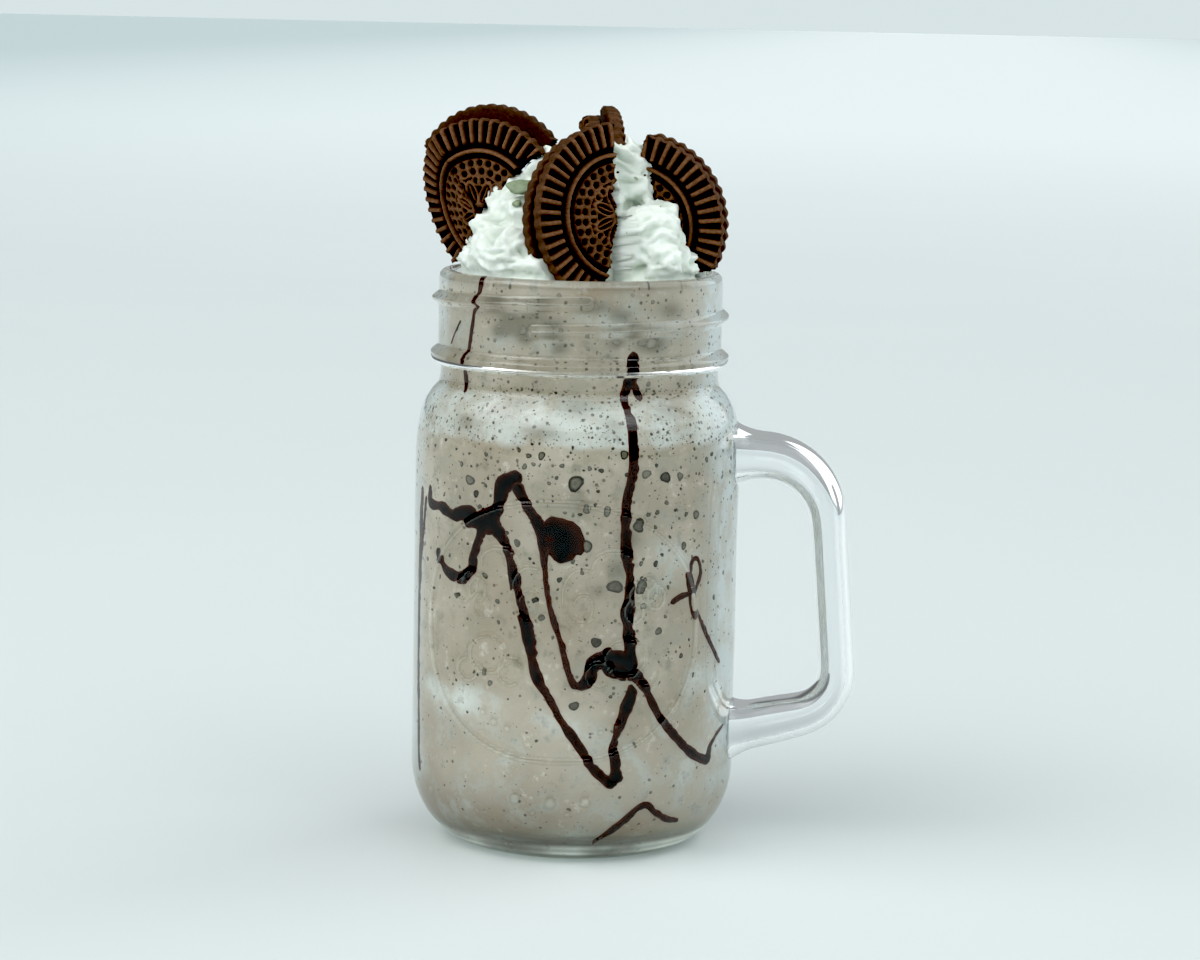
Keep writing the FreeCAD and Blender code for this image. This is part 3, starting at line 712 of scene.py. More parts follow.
def make_jar():
    """Jar mug with bead, thread, raised oval and handle, as one closed piece of glass."""
    outside = glass_curve(0, 0, BEAD_HEIGHT, (1.3, 0.66, 0.95, 0.55))
    inside = glass_curve(WALL, BASE_GLASS, RIM_HEIGHT - LIP_INNER_BEND, (1.8, 6.0, 1.6, 2.2))
    mouth = inside[-1][0]
    lip = [
        (NECK_RADIUS, BEAD_HEIGHT, None, 0.36),
        (NECK_RADIUS, RIM_HEIGHT - LIP_OUTER_BEND, LIP_OUTER_BEND, 0.6),
        (NECK_RADIUS - LIP_OUTER_BEND, RIM_HEIGHT, None, 0.6),
        (mouth + LIP_INNER_BEND, RIM_HEIGHT, LIP_INNER_BEND, 0.6),
    ]
    corners = [(0, 0, None, 6.0)] + outside + lip
    corners += backwards(inside) + [(0, BASE_GLASS, None, 1)]
    points = run(corners)
    azimuths = np.concatenate([np.arange(-105, 105, 0.82), np.arange(105, 255, 2.3)])
    normal = outward(points)
    top = int(np.argmax(points[:, 1]))
    stand = np.zeros((len(points), len(azimuths)))
    wrapped = np.mod(azimuths + 180, 360) - 180
    rows = slice(2, top)
    stand[rows] = outer_relief(wrapped[None, :], points[rows, 1:], points[rows, :1])
    radii = points[:, :1] + normal[:, :1] * stand
    heights = points[:, 1:] + normal[:, 1:] * stand
    jar = turned("glass_jar", points, azimuths, radii, heights)
    handle = make_handle()
    union = jar.modifiers.new("handle", "BOOLEAN")
    union.operation = "UNION"
    union.solver = "MANIFOLD"
    union.object = handle
    item = applied(jar, handle)
    # share of the pressed lines' height, for the glass material's painted highlights and shade
    azimuth, z = where_on_wall(item)
    spots = vertex_places(item)
    outer = (np.hypot(spots[:, 0], spots[:, 1]) > 36.4) & (np.abs(azimuth) < 60) & (z > 11) & (z < 100)
    share = outer_relief(azimuth, z, BODY_RADIUS) / OVAL_STAND
    paint(item, "press", np.where(outer, np.clip(share, 0, 1), 0))
    return item


# ---------------------------------------------------------------- drink
FOAM_PATCHES = [
    # azimuth, height, half width, half height, strength
    (-40, 38, 22, 4.5, 0.8), (2, 35, 12, 4, 0.45), (46, 73, 16, 6, 0.45), (-14, 104, 60, 4, 0.15),
    (58, 50, 10, 22, 0.35), (19, 76, 8, 3, 0.25), (-30, 123, 26, 4, 0.3), (30, 127, 30, 3, 0.3),
]


BROWN_PATCHES = [
    (34, 7, 12, 5, 0.9), (-45, 12, 26, 6, 0.5), (12, 134, 9, 1.6, 0.9), (-22, 60, 10, 14, 0.3),
    (36, 88, 14, 8, 0.25), (-30, 96, 16, 5, 0.2), (5, 56, 9, 9, 0.25), (170, 20, 40, 8, 0.5),
]


# painted shade: clusters of air behind the neck's glass, and darker holes among the froth
AIR_SHADE_PATCHES = [
    (-32, 130, 6, 2.2, 0.5), (-24, 126.5, 5, 2.6, 0.75), (-17, 124, 4, 2.0, 0.7), (-14, 128, 6, 2.0, 0.5),
    (-5, 126, 5, 2.2, 0.55), (-30, 124.5, 4, 1.8, 0.5), (12, 131, 8, 1.6, 0.45), (24, 129, 5, 1.6, 0.5),
    (30, 126, 4, 1.6, 0.45), (38, 122.5, 7, 2.0, 0.7), (22, 123, 4, 1.6, 0.55), (-2, 121.5, 4, 1.5, 0.45),
    (-9, 131, 5, 1.5, 0.4), (48, 130, 6, 2.0, 0.4), (-20, 106, 9, 2.5, 0.35), (6, 107, 8, 2.2, 0.3),
    (-6, 102, 7, 1.8, 0.35), (20, 104, 6, 2.0, 0.3), (-40, 103, 7, 2.0, 0.3), (44, 106, 8, 2.0, 0.3),
    (26, 78, 5, 3.0, 0.5), (22, 71, 4, 2.5, 0.4), (15, 66, 3, 2.0, 0.35), (8, 86, 4, 2.5, 0.3),
    (150, 127, 9, 3.0, 0.5), (-140, 125, 8, 3.0, 0.5), (-170, 70, 9, 4.0, 0.4), (120, 60, 6, 4.0, 0.4),
]


def blob(azimuth, z, place):
    """Soft patch of strength at an azimuth and height."""
    centre, height, half_width, half_height, strength = place
    away = np.mod(azimuth - centre + 180, 360) - 180
    return strength * np.exp(-((away / half_width) ** 2) - ((z - height) / half_height) ** 2)


def make_drink():
    """Milkshake that reaches just into the wall, so that no air gap shows."""
    steps = (1.0, 1.0, 1.0, 1.0)
    curve = glass_curve(WALL - INTO_WALL, BASE_GLASS - INTO_WALL, DRINK_HEIGHT, steps)
    corners = [(0, BASE_GLASS - INTO_WALL, None, 3.0)] + curve[:-1]
    corners += [(curve[-1][0], DRINK_HEIGHT, None, 3.0), (0, DRINK_HEIGHT, None, 1)]
    points = run(corners)
    azimuths = np.arange(0, 360, 1.6)
    item = turned("milkshake_body", points, azimuths)
    azimuth, z = where_on_wall(item)
    foam_and_painted_fill = 0.15 * smooth(z, 116, 120) + 0.72 * smooth(z, 97.5, 100) * (1 - smooth(z, 107, 111))
    # painted fill light: whiter towards the bottom, where less light reaches the drink
    foam_and_painted_fill += 0.3 * (1 - smooth(z, 22, 50))
    foam_and_painted_fill -= 0.3 * np.exp(-(((z - 114.5) / 2.4) ** 2))
    foam_and_painted_fill += smooth(z, 135.2, 135.9)
    for patch in FOAM_PATCHES:
        foam_and_painted_fill += blob(azimuth, z, patch)
        foam_and_painted_fill += 0.6 * blob(azimuth + 170, z, patch)
    brown = 0.3 * (1 - smooth(z, 9, 18)) + 0.1 * (1 - smooth(z, 20, 60))
    for patch in BROWN_PATCHES:
        brown += blob(azimuth, z, patch)
    # painted shade of air and hollows, and a slight painted darkening from the shoulder up
    painted_air_shade = 0.07 * smooth(z, 111, 116) + 0.1 * smooth(z, 98, 101)
    for patch in AIR_SHADE_PATCHES:
        painted_air_shade += 1.35 * blob(azimuth, z, patch)
    # side: where a painted reflection of bright surroundings lies, on the left and right sides
    side = 0.8 * smooth(azimuth, 56, 74) * (1 - smooth(azimuth, 108, 124))
    side += 0.6 * smooth(-azimuth, 60, 72) * (1 - smooth(-azimuth, 100, 116))
    paint(item, "side", side * smooth(z, 12, 22))
    paint(item, "painted_air_shade", np.clip(painted_air_shade, 0, 0.8))
    airy = 0.2 + 0.25 * smooth(z, 60, 90) + 0.8 * smooth(z, 97, 100) * (1 - smooth(z, 110, 113))
    paint(item, "foam_and_painted_fill", np.clip(foam_and_painted_fill, 0, 1.2))
    paint(item, "brown", np.clip(brown, 0, 1))
    paint(item, "airy", np.clip(airy, 0, 1))
    return item


INNER = run(glass_curve(WALL, BASE_GLASS, RIM_HEIGHT, (0.5, 0.5, 0.5, 0.5)))
INNER_NORMAL = outward(INNER)


def on_wall(azimuth, z, lift):
    """Place and outward normal on the inside of the glass, moved into the glass by a lift."""
    index = np.searchsorted(INNER[:, 1], np.clip(z, INNER[0, 1], INNER[-1, 1] - 0.6))
    r = INNER[index, 0] + INNER_NORMAL[index, 0] * lift
    angle = np.radians(azimuth)
    out = np.stack([np.sin(angle), -np.cos(angle)], axis=-1)
    place = np.concatenate([out * r[..., None], np.asarray(z, float)[..., None]], axis=-1)
    normal = np.concatenate([out * INNER_NORMAL[index, :1], INNER_NORMAL[index, 1:]], axis=-1)
    return place, normal


BIG_BUBBLES = [
    # azimuth, height and radius of the ones that stand out at the front
    (-6.5, 97, 0.9), (-35.5, 90, 1.4), (6, 91, 1.9), (23.5, 97.5, 1.2), (32, 93, 1.2), (40, 92, 1.4),
    (46.5, 92, 0.9), (29.5, 81, 1.6), (21, 67, 1.9), (31, 66.5, 1.4), (-32.5, 87, 0.9),
    (-28, 68, 0.9), (-41, 62.5, 0.7), (14.5, 54, 1.2), (7, 39, 1.2), (10, 85, 0.9), (17.5, 84.5, 0.9),
    (55, 82.5, 1.2), (49, 75.5, 0.9), (-15, 76.5, 0.9), (10.5, 76.5, 1.4), (1, 68.5, 0.7),
    (-8, 63.5, 0.7), (-5.5, 59.5, 0.7), (-31.5, 45, 0.7), (-27.5, 45.5, 0.7), (-25, 43, 0.7),
    (55, 44.5, 0.7), (49, 49.5, 0.7), (38.5, 56, 0.9), (-18, 125, 1.1), (-24, 128, 0.8),
    (22, 123, 0.9), (38, 122.5, 1.2), (33.5, 122.7, 1.1),
]
# height of a band, share of all bubbles in it, and their radii
BUBBLE_BANDS = [
    (99, 112, 0.52, 0.12, 0.42), (84, 99, 0.16, 0.18, 0.75), (58, 84, 0.12, 0.18, 0.7),
    (30, 58, 0.06, 0.16, 0.5), (112, 134, 0.12, 0.2, 0.7),
]
BUBBLE_COUNT = 2800


def bubble_places():
    """Azimuth, height and radius of every bubble, spaced so that they do not overlap."""
    places = list(BIG_BUBBLES)
    kept = np.zeros((BUBBLE_COUNT + len(places), 3))
    kept[: len(places)] = places
    count = len(places)
    for low, high, share, small, large in BUBBLE_BANDS:
        for _ in range(int(BUBBLE_COUNT * share)):
            radius = small + (large - small) * RANDOM.random() ** 3
            azimuth = RANDOM.uniform(-180, 180)
            z = RANDOM.uniform(low, high)
            away = np.mod(kept[:count, 0] - azimuth + 180, 360) - 180
            gap = np.hypot(away * math.radians(36), kept[:count, 1] - z)
            if np.all(gap > kept[:count, 2] + radius + 0.15):
                kept[count] = (azimuth, z, radius)
                count += 1
    return kept[:count]


def make_bubbles():
    """Flat domes standing for air against the glass; their material paints its shade and highlight."""
    rings, columns = (1.0, 0.88, 0.68, 0.35), 12
    verts, faces, rim, tone, faint = [], [], [], [], []
    angle = np.linspace(0, 2 * math.pi, columns, endpoint=False)
    for azimuth, z, radius in bubble_places():
        centre, normal = on_wall(np.array(azimuth), np.array(z), 0.0)
        across = np.array([math.cos(math.radians(azimuth)), math.sin(math.radians(azimuth)), 0])
        up = np.cross(normal, across) * RANDOM.uniform(0.85, 1.2)
        first = len(verts)
        shade = RANDOM.random()
        pale = 0.35 * float(smooth(z, 111, 114)) + 0.25 * RANDOM.random()
        faint += [pale] * (len(rings) * columns + 2)
        for share in rings:
            wobble = 1 + 0.13 * np.sin(2 * angle + azimuth) + 0.09 * np.sin(3 * angle + 7 * shade)
            ring = np.outer(np.cos(angle) * wobble, across) + np.outer(np.sin(angle) * wobble, up)
            lift = INTO_WALL - 0.1 + 0.22 * math.sqrt(max(1 - share**2, 0)) + 0.05
            verts += list(centre + ring * radius * share + normal * lift)
            rim += [share] * columns
            tone += [shade] * columns
        verts.append(centre + normal * (INTO_WALL + 0.2))
        rim.append(0.0)
        tone.append(shade)
        verts.append(centre - normal * 0.3)
        rim.append(0.0)
        tone.append(shade)
        faces += [[i + first for i in quad] for quad in grid_faces(len(rings), columns, closed=True)]
        last = first + (len(rings) - 1) * columns
        for index in range(columns):
            after = (index + 1) % columns
            faces.append([last + index, last + after, last + columns])
            faces.append([first + after, first + index, last + columns + 1])
    item = new_object("air_bubbles", verts, faces)
    paint(item, "rim", rim)
    paint(item, "tone", tone)
    paint(item, "faint", faint)
    return item


# ---------------------------------------------------------------- chocolate sauce
SAUCE_RUNS = [
    # each run is azimuth, height and width
    [(29.5, 120.8, 2.4), (29.5, 117.5, 3.2), (28.8, 114.5, 3.0), (26, 110.5, 1.8), (26, 107, 2.0),
     (27, 103.5, 2.2), (27, 100, 2.4), (27, 94.5, 2.2), (26, 91, 2.6), (24.5, 86, 2.2),
     (24.5, 80.5, 2.3), (25, 75, 2.6), (26.5, 69.5, 2.4), (26.5, 64, 2.6), (26, 59, 2.8),
     (27, 53.5, 2.6), (27.5, 47, 3.4)],
    [(29.5, 114.5, 1.8), (31.5, 111.5, 1.6), (33, 108.5, 1.4)],
    [(8, 43, 2.0), (12.5, 45.5, 2.6), (14, 49, 3.6), (20, 50.5, 4.0), (27, 48.5, 4.6), (28, 45, 3.6)],
    [(16, 50.5, 3.4), (21, 47.5, 3.2), (28, 46.5, 3.4)],
    [(28, 47, 3.0), (32.5, 44, 2.2), (35.5, 40.5, 2.0), (39.5, 36, 2.2), (47, 30.5, 2.4),
     (56, 25.5, 2.4), (65, 23.2, 2.6), (67, 26, 1.8), (72, 28.5, 1.1), (78, 30, 0.8)],
    [(28.5, 44, 3.2), (28, 41.5, 2.6), (26, 38, 3.0), (23.5, 33.5, 1.8), (21.5, 29, 1.8),
     (22.5, 25.5, 2.6), (23, 20.5, 3.6)],
    [(-26, 82.5, 4.6), (-24, 80, 3.6), (-19.5, 76, 2.6), (-17, 71.5, 2.5), (-15, 66.5, 2.4),
     (-12.5, 61, 2.6), (-11, 57.5, 3.0), (-9.5, 53, 3.0), (-8, 48, 2.2), (-6, 44.5, 2.6),
     (-2.5, 41, 1.8), (3, 35, 2.0), (9, 29.5, 2.0), (14, 24.5, 2.0), (19, 21.5, 2.6),
     (23, 20.3, 3.6)],
    [(-13.5, 92.5, 4.4), (-18, 91, 3.8), (-21, 89.5, 4.2), (-22.5, 85, 2.8), (-25, 82.5, 5.0),
     (-27, 81, 6.4), (-32, 80.8, 4.8), (-38, 82, 4.0), (-44, 81.2, 3.0), (-51, 82.5, 2.6),
     (-59, 82.8, 2.6), (-59.5, 87, 2.0)],
    [(-28, 81, 4.0), (-30.5, 77, 2.8), (-33, 72.5, 2.4), (-34, 69, 2.6), (-38, 67, 3.0),
     (-44, 67, 2.6), (-50, 69, 2.0), (-53.5, 72.5, 2.2)],
    [(-16, 90.5, 3.4), (-14, 88, 2.6), (-10.5, 84.5, 2.6), (-7, 81, 3.2), (-5.2, 77, 2.4),
     (-4.5, 70.5, 1.4), (-3, 64, 1.2), (-1, 59, 1.4), (2, 53.5, 1.4), (3.5, 49.5, 1.5),
     (5.5, 45.5, 1.6), (8, 43, 1.8)],
    [(-6, 79.5, 3.4), (-2, 80, 6.0), (1, 79.2, 8.4), (2, 77.5, 9.4), (1.5, 74.5, 7.4), (1, 72.4, 4.0)],
    [(43.5, 62.3, 1.5), (48, 63.6, 1.6), (54, 64.5, 1.4), (58, 68, 1.2), (57, 71.5, 1.1),
     (54, 72, 1.2), (52, 69, 1.3), (53, 65, 1.4), (54.5, 60, 1.3), (59.5, 56.5, 1.3),
     (65, 51.5, 1.2), (73, 45.5, 1.0)],
    [(-67, 86, 1.8), (-68.5, 78, 2.4), (-69.5, 66, 2.2), (-69.5, 50, 2.0), (-69, 34, 1.8),
     (-67.5, 17, 1.4)],
    [(-63, 84, 1.4), (-65.5, 76, 1.6), (-69, 68, 1.6)],
    [(-40, 135.5, 1.4), (-41.5, 132.5, 1.2), (-43.5, 130, 1.2), (-45.5, 124.5, 1.1),
     (-47.5, 119, 1.2), (-50.5, 115.5, 1.2), (-50, 113, 1.4), (-48.5, 108, 0.9)],
    [(-53.5, 126, 0.5), (-58, 123, 0.5), (-62, 120, 0.4)],
    [(17.5, 6.8, 1.4), (23, 9, 1.8), (29, 12, 2.0), (33, 14.3, 1.8), (36.5, 14.8, 1.6),
     (41, 13, 1.6), (48.5, 11, 1.6), (56, 10.2, 1.2)],
    [(150, 118, 2.0), (152, 100, 2.2), (148, 84, 2.4), (151, 66, 2.2), (147, 48, 2.6), (140, 36, 2.2),
     (128, 27, 1.8)],
    [(-120, 92, 2.2), (-128, 80, 2.4), (-133, 64, 2.2), (-143, 50, 2.0), (-150, 36, 2.4),
     (-162, 27, 2.8), (-175, 40, 2.0), (-178, 56, 1.6)],
]


def through(points, step):
    """Catmull-Rom curve through points, about a step apart."""
    points = np.array(points, float)
    ends = np.vstack([2 * points[0] - points[1], points, 2 * points[-1] - points[-2]])
    curve = []
    for index in range(len(points) - 1):
        a, b, c, d = ends[index : index + 4]
        count = max(2, int(np.hypot((c - b)[0] * math.radians(36), (c - b)[1]) / step))
        for share in np.arange(count) / count:
            t2, t3 = share**2, share**3
            line = 2 * b + (c - a) * share + (2 * a - 5 * b + 4 * c - d) * t2
            curve.append((line + (3 * b - a - 3 * c + d) * t3) / 2)
    return np.array(curve + [points[-1]])


def make_sauce():
    """Runs of sauce on the inside of the glass, as flat-backed ribbons with round ends."""
    verts, faces, thin = [], [], []
    shares = np.array([-1.0, -0.86, -0.6, -0.3, 0.0, 0.3, 0.6, 0.86, 1.0])
    for seed, points in enumerate(SAUCE_RUNS):
        line = through(points, 0.5)
        wobble = [noise.noise((z * 0.33, azimuth * 0.21, seed * 7.7)) for azimuth, z, _ in line]
        ripple = [noise.noise((z * 1.1, azimuth * 0.6, seed * 3.1)) for azimuth, z, _ in line]
        width = line[:, 2] * (1 + 0.35 * np.array(wobble) + 0.18 * np.array(ripple)) / 2
        gone = np.minimum(np.arange(len(line)), np.arange(len(line))[::-1]) * 0.5
        width *= np.sqrt(np.clip(1 - (1 - gone / np.maximum(width, 0.2)).clip(0) ** 2, 0.02, 1))
        line[:, 0] += np.array(ripple) * 0.35
        centre, normal = on_wall(line[:, 0], line[:, 1], 0.0)
        along = np.gradient(centre, axis=0)
        along /= np.linalg.norm(along, axis=1)[:, None] + 1e-9
        side = np.cross(along, normal)
        first = len(verts)
        section = []
        for share in shares:
            lift = INTO_WALL + 0.04 + 0.32 * np.sqrt(1 - 0.98 * share**2)
            spot = centre + side * (width * share)[:, None]
            azimuth = np.degrees(np.arctan2(spot[:, 0], -spot[:, 1]))
            held, held_normal = on_wall(azimuth, spot[:, 2], 0.0)
            section.append(held + held_normal * lift)
        for share in (0.6, -0.6):
            spot = centre + side * (width * share)[:, None]
            section.append(spot - normal * 0.5)
        grid = np.stack(section, axis=1)
        rows, columns = grid.shape[:2]
        verts += list(grid.reshape(-1, 3))
        edge = np.concatenate([np.abs(shares) ** 3, [1, 1]])
        weak = np.clip(1.5 - width, 0, 1)[:, None] * 0.55
        thin += list(np.clip(edge[None, :] * 0.8 + weak, 0, 1).ravel())
        faces += grid_faces(rows, columns, first, closed=True)
        faces.append([first + index for index in range(columns)][::-1])
        faces.append([first + (rows - 1) * columns + index for index in range(columns)])
    item = new_object("chocolate_sauce", verts, faces)
    tidy = bmesh.new()
    tidy.from_mesh(item.data)
    bmesh.ops.recalc_face_normals(tidy, faces=tidy.faces)
    tidy.to_mesh(item.data)
    tidy.free()
    paint(item, "thin", thin)
    return item


# ---------------------------------------------------------------- whipped cream
CREAM_LOBES = [
    # centre, then radii
    (0, 0, 134, 29.6, 29.6, 6), (0, 0, 139, 25, 25, 9), (0, 3, 148, 17, 16, 17),
    (-14, -4, 150, 9.5, 10, 10), (-8, -7, 158.5, 6.2, 6, 6.2), (11.5, -3, 158, 6.5, 7, 9),
    (17, -13, 145, 9, 8, 9), (-15, -17, 141.5, 9.5, 8, 7.5), (3, -23, 139.5, 7.5, 5, 6),
    (25, 5, 140, 7, 8, 6), (20, 16, 142, 8, 8, 7.5), (5, 18, 147, 11, 8.5, 10.5),
    (-13, 15, 146, 10, 9.5, 10.5), (-23, 3, 140, 6, 9, 6), (2, 2, 161.5, 5.5, 5, 5.5),
    (20.5, -18, 141, 5.5, 5, 5), (13, -19.5, 148, 4.6, 4.4, 4.2), (19, -9, 151, 4.8, 4.6, 4.4),
    (-20, -13, 146.5, 5.5, 5, 4.6), (-12.5, -14, 151, 4.6, 4.4, 4.2), (-9, -9.5, 154.5, 4.4, 4, 4),
    (8, -6, 164, 4, 4, 4.4), (12, -4, 166, 3, 3, 3.4), (-7, -6, 163, 3.2, 3.4, 4), (5, -21, 145, 4.6, 4, 4),
    (-23, -13, 139.5, 5, 5, 4.6), (-8, -23, 139, 6, 4.6, 4.2), (24, -9, 139.5, 5, 6, 4.6),
    (0, 12, 158, 6, 5.5, 6), (-10, 8, 157, 5, 5.5, 5), (9, 9, 157, 5.5, 5, 5.5), (14, 20, 146, 5, 5, 5),
    (-5, 22, 146, 5.5, 5, 5), (-20, 14, 144, 5.5, 5.5, 5), (-4, -13, 152, 6, 6, 7), (6, -12, 155, 5, 6, 7),
]


def cookie_frame(place, azimuth, lift):
    """Frame of a cookie whose front face looks along its own +Z."""
    turn = Matrix.Rotation(math.radians(azimuth), 4, "Z")
    turn = turn @ Matrix.Rotation(math.radians(90 - lift), 4, "X")
    return Matrix.Translation(place) @ turn


MIDDLE_COOKIE = cookie_frame((10.3, -15.9, 151), 40, 6.7)


def make_cream():
    """Mound of piped cream: many soft lobes, folded and pulled into small ridges."""
    mound = bmesh.new()
    for x, y, z, rx, ry, rz in CREAM_LOBES:
        place = Matrix.LocRotScale(Vector((x, y, z)), None, Vector((rx, ry, rz)))
        bmesh.ops.create_icosphere(mound, subdivisions=4, radius=1, matrix=place)
    plug = Matrix.Translation((0, 0, DRINK_HEIGHT - 1.5))
    bmesh.ops.create_cone(
        mound, cap_ends=True, segments=128, radius1=29.4, radius2=29.4, depth=3, matrix=plug
    )
    mesh = bpy.data.meshes.new("cream")
    bmesh.ops.scale(mound, vec=(MM, MM, MM), verts=mound.verts)
    mound.to_mesh(mesh)
    mound.free()
    item = bpy.data.objects.new("cream_mound", mesh)
    bpy.context.scene.collection.objects.link(item)
    remesh = item.modifiers.new("skin", "REMESH")
    remesh.mode = "VOXEL"
    remesh.voxel_size = 0.55 * MM
    relax = item.modifiers.new("relax", "SMOOTH")
    relax.iterations = 4
    applied(item)
    count = len(item.data.vertices)
    spots = np.zeros(count * 3, np.float32)
    normals = np.zeros(count * 3, np.float32)
    item.data.vertices.foreach_get("co", spots)
    item.data.vertices.foreach_get("normal", normals)
    spots = spots.reshape(-1, 3).astype(float) / MM
    normals = normals.reshape(-1, 3).astype(float)
    push = np.zeros(count)
    for index, (x, y, z) in enumerate(spots):
        warp = noise.noise_vector((x * 0.09, y * 0.09, z * 0.09)) * 6
        p = Vector((x, y, 1.7 * z)) + warp
        fold = 1 - abs(noise.noise(p * 0.13)) * 2.2
        crease = 1 - abs(noise.noise(p * 0.34 + Vector((9, 2, 5)))) * 2.2
        push[index] = 1.5 * fold + 0.7 * crease + 0.25 * noise.noise(p * 0.9) - 1.7
    held = smooth(spots[:, 2], RIM_HEIGHT - 1.5, RIM_HEIGHT + 1.5)
    moved = spots + normals * (push * held)[:, None]
    r = np.hypot(moved[:, 0], moved[:, 1])
    low = moved[:, 2] < RIM_HEIGHT + 0.8
    limit = np.where(low & (r > 29.6), 29.6 / np.maximum(r, 1e-6), 1)
    moved[:, :2] *= limit[:, None]
    # no cream in front of the middle cookie
    into = np.array(MIDDLE_COOKIE.inverted())
    local = moved @ into[:3, :3].T + into[:3, 3]
    covered = (local[:, 2] > -3.5) & (local[:, 2] < 16) & (local[:, 0] < 0.3)
    covered &= np.hypot(local[:, 0], local[:, 1]) < COOKIE_RADIUS + 0.8
    local[covered, 2] = -3.5
    back = np.array(MIDDLE_COOKIE)
    moved = local @ back[:3, :3].T + back[:3, 3]
    item.data.vertices.foreach_set("co", (moved * MM).astype(np.float32).ravel())
    item.data.update()
    # painted shade in the creases, deeper where the surface is pushed in further
    paint(item, "painted_crease_shade", np.clip(-push / 3.2, 0, 1) * held)
    item.name = "whipped_cream_mound"
    return item


def make_flecks():
    """Scraps of green herb on the cream."""
    verts, faces = [], []
    scraps = [((-12.6, -15.5, 157.2), 3.4, 2.2, 0.9), ((-13.5, -17.0, 153.6), 1.4, 1.1, 0.5),
              ((13.4, -17.5, 147.6), 1.2, 0.7, 0.4), ((14.2, -16.5, 160.0), 0.8, 0.5, 0.3),
              ((-17, -20, 143.5), 0.8, 0.6, 0.3), ((-3, 22, 153.0), 1.4, 0.8, 0.4)]
    for place, long, wide, thick in scraps:
        base = bmesh.new()
        bmesh.ops.create_icosphere(base, subdivisions=3, radius=1)
        first = len(verts)
        spin = Matrix.Rotation(place[0], 3, "Z") @ Matrix.Rotation(0.7 + place[2], 3, "X")
        for vert in base.verts:
            rough = 1 + 0.35 * noise.noise(vert.co * 1.6 + Vector(place))
            local = Vector((vert.co.x * long, vert.co.y * wide, vert.co.z * thick)) * rough
            local.z += 0.25 * long * (vert.co.x**2)
            verts.append(Vector(place) + spin @ local)
        faces += [[vert.index + first for vert in face.verts] for face in base.faces]
        base.free()
    return new_object("green_flecks", [list(vert) for vert in verts], faces)


# ---------------------------------------------------------------- cookies
def cookie_relief(x, y, phase):
    """Height of the stamped pattern, from 0 in the grooves to 1 on top."""
    share = np.hypot(x, y) / COOKIE_RADIUS
    angle = np.degrees(np.arctan2(y, x))
    pitch = 360 / RIDGE_COUNT
    away = np.abs(np.mod(angle - phase + pitch / 2, pitch) - pitch / 2)
    away *= math.radians(COOKIE_RADIUS) * share
    bars = (1 - smooth(away, 0.32, 0.78)) * smooth(share, 0.715, 0.75)
    bars = np.maximum(bars * (1 - 0.4 * smooth(share, 0.95, 1.0)), 0.55 * smooth(share, 0.95, 0.985))
    ring = smooth(share, 0.618, 0.634) * (1 - smooth(share, 0.662, 0.68))
    lace = np.zeros_like(share)
    inside = 1 - smooth(share, 0.56, 0.572)
    pits = np.ones_like(share)
    for radius, count, offset in ((0.52, 30, 0.0), (0.43, 25, 0.5)):
        step = 360 / count
        gone = np.abs(np.mod(angle - offset * step, step) - step / 2)
        gone = np.hypot(gone * math.radians(radius * COOKIE_RADIUS),
                        (share - radius) * COOKIE_RADIUS)
        pits = np.minimum(pits, smooth(gone, 0.62, 0.92))
    lace = np.where(share > 0.37, 0.85 * pits, lace)
    rosette = np.zeros_like(share)
    for index in range(8):
        turn = math.radians(45 * index + 22.5)
        along = x * math.cos(turn) + y * math.sin(turn)
        across = -x * math.sin(turn) + y * math.cos(turn)
        petal = np.hypot((along - 4.4) / 3.3, across / 1.45)
        rosette = np.maximum(rosette, 1 - smooth(np.abs(petal - 0.86), 0.1, 0.26))
        rosette = np.maximum(rosette, (1 - smooth(np.abs(across), 0.14, 0.34)) * (petal < 0.6))
        tip = np.hypot(along - 6.9, np.abs(across) - 2.0)
        rosette = np.maximum(rosette, 1 - smooth(np.abs(tip - 1.0), 0.16, 0.42))
    rosette = np.maximum(rosette, 1 - smooth(share, 0.045, 0.07))
    lace = np.where(share <= 0.37, rosette, lace)
    return np.clip(bars + ring + lace * inside, 0, 1)


def behind(place, depth, slip=(0, 0)):
    """A cookie's frame moved back and slipped sideways within the cookie."""
    return place @ Matrix.Translation((slip[0], slip[1], -depth))


def turned_over(place):
    """The same frame seen from the back."""
    return place @ Matrix.Rotation(math.pi, 4, "Y")


def seen_from_behind(first, last, broken):
    """The angles of a broken disc as they are seen from its other side."""
    return 180 - last, 180 - first, [(share, 180 - angle) for share, angle in reversed(broken)]


def along_line(points, shares):
    """Places at shares of the length of a run of points."""
    points = np.array(points, float)
    walked = np.concatenate([[0], np.cumsum(np.linalg.norm(np.diff(points, axis=0), axis=1))])
    walked /= walked[-1]
    return np.stack([np.interp(shares, walked, points[:, axis]) for axis in (0, 1)], axis=1)


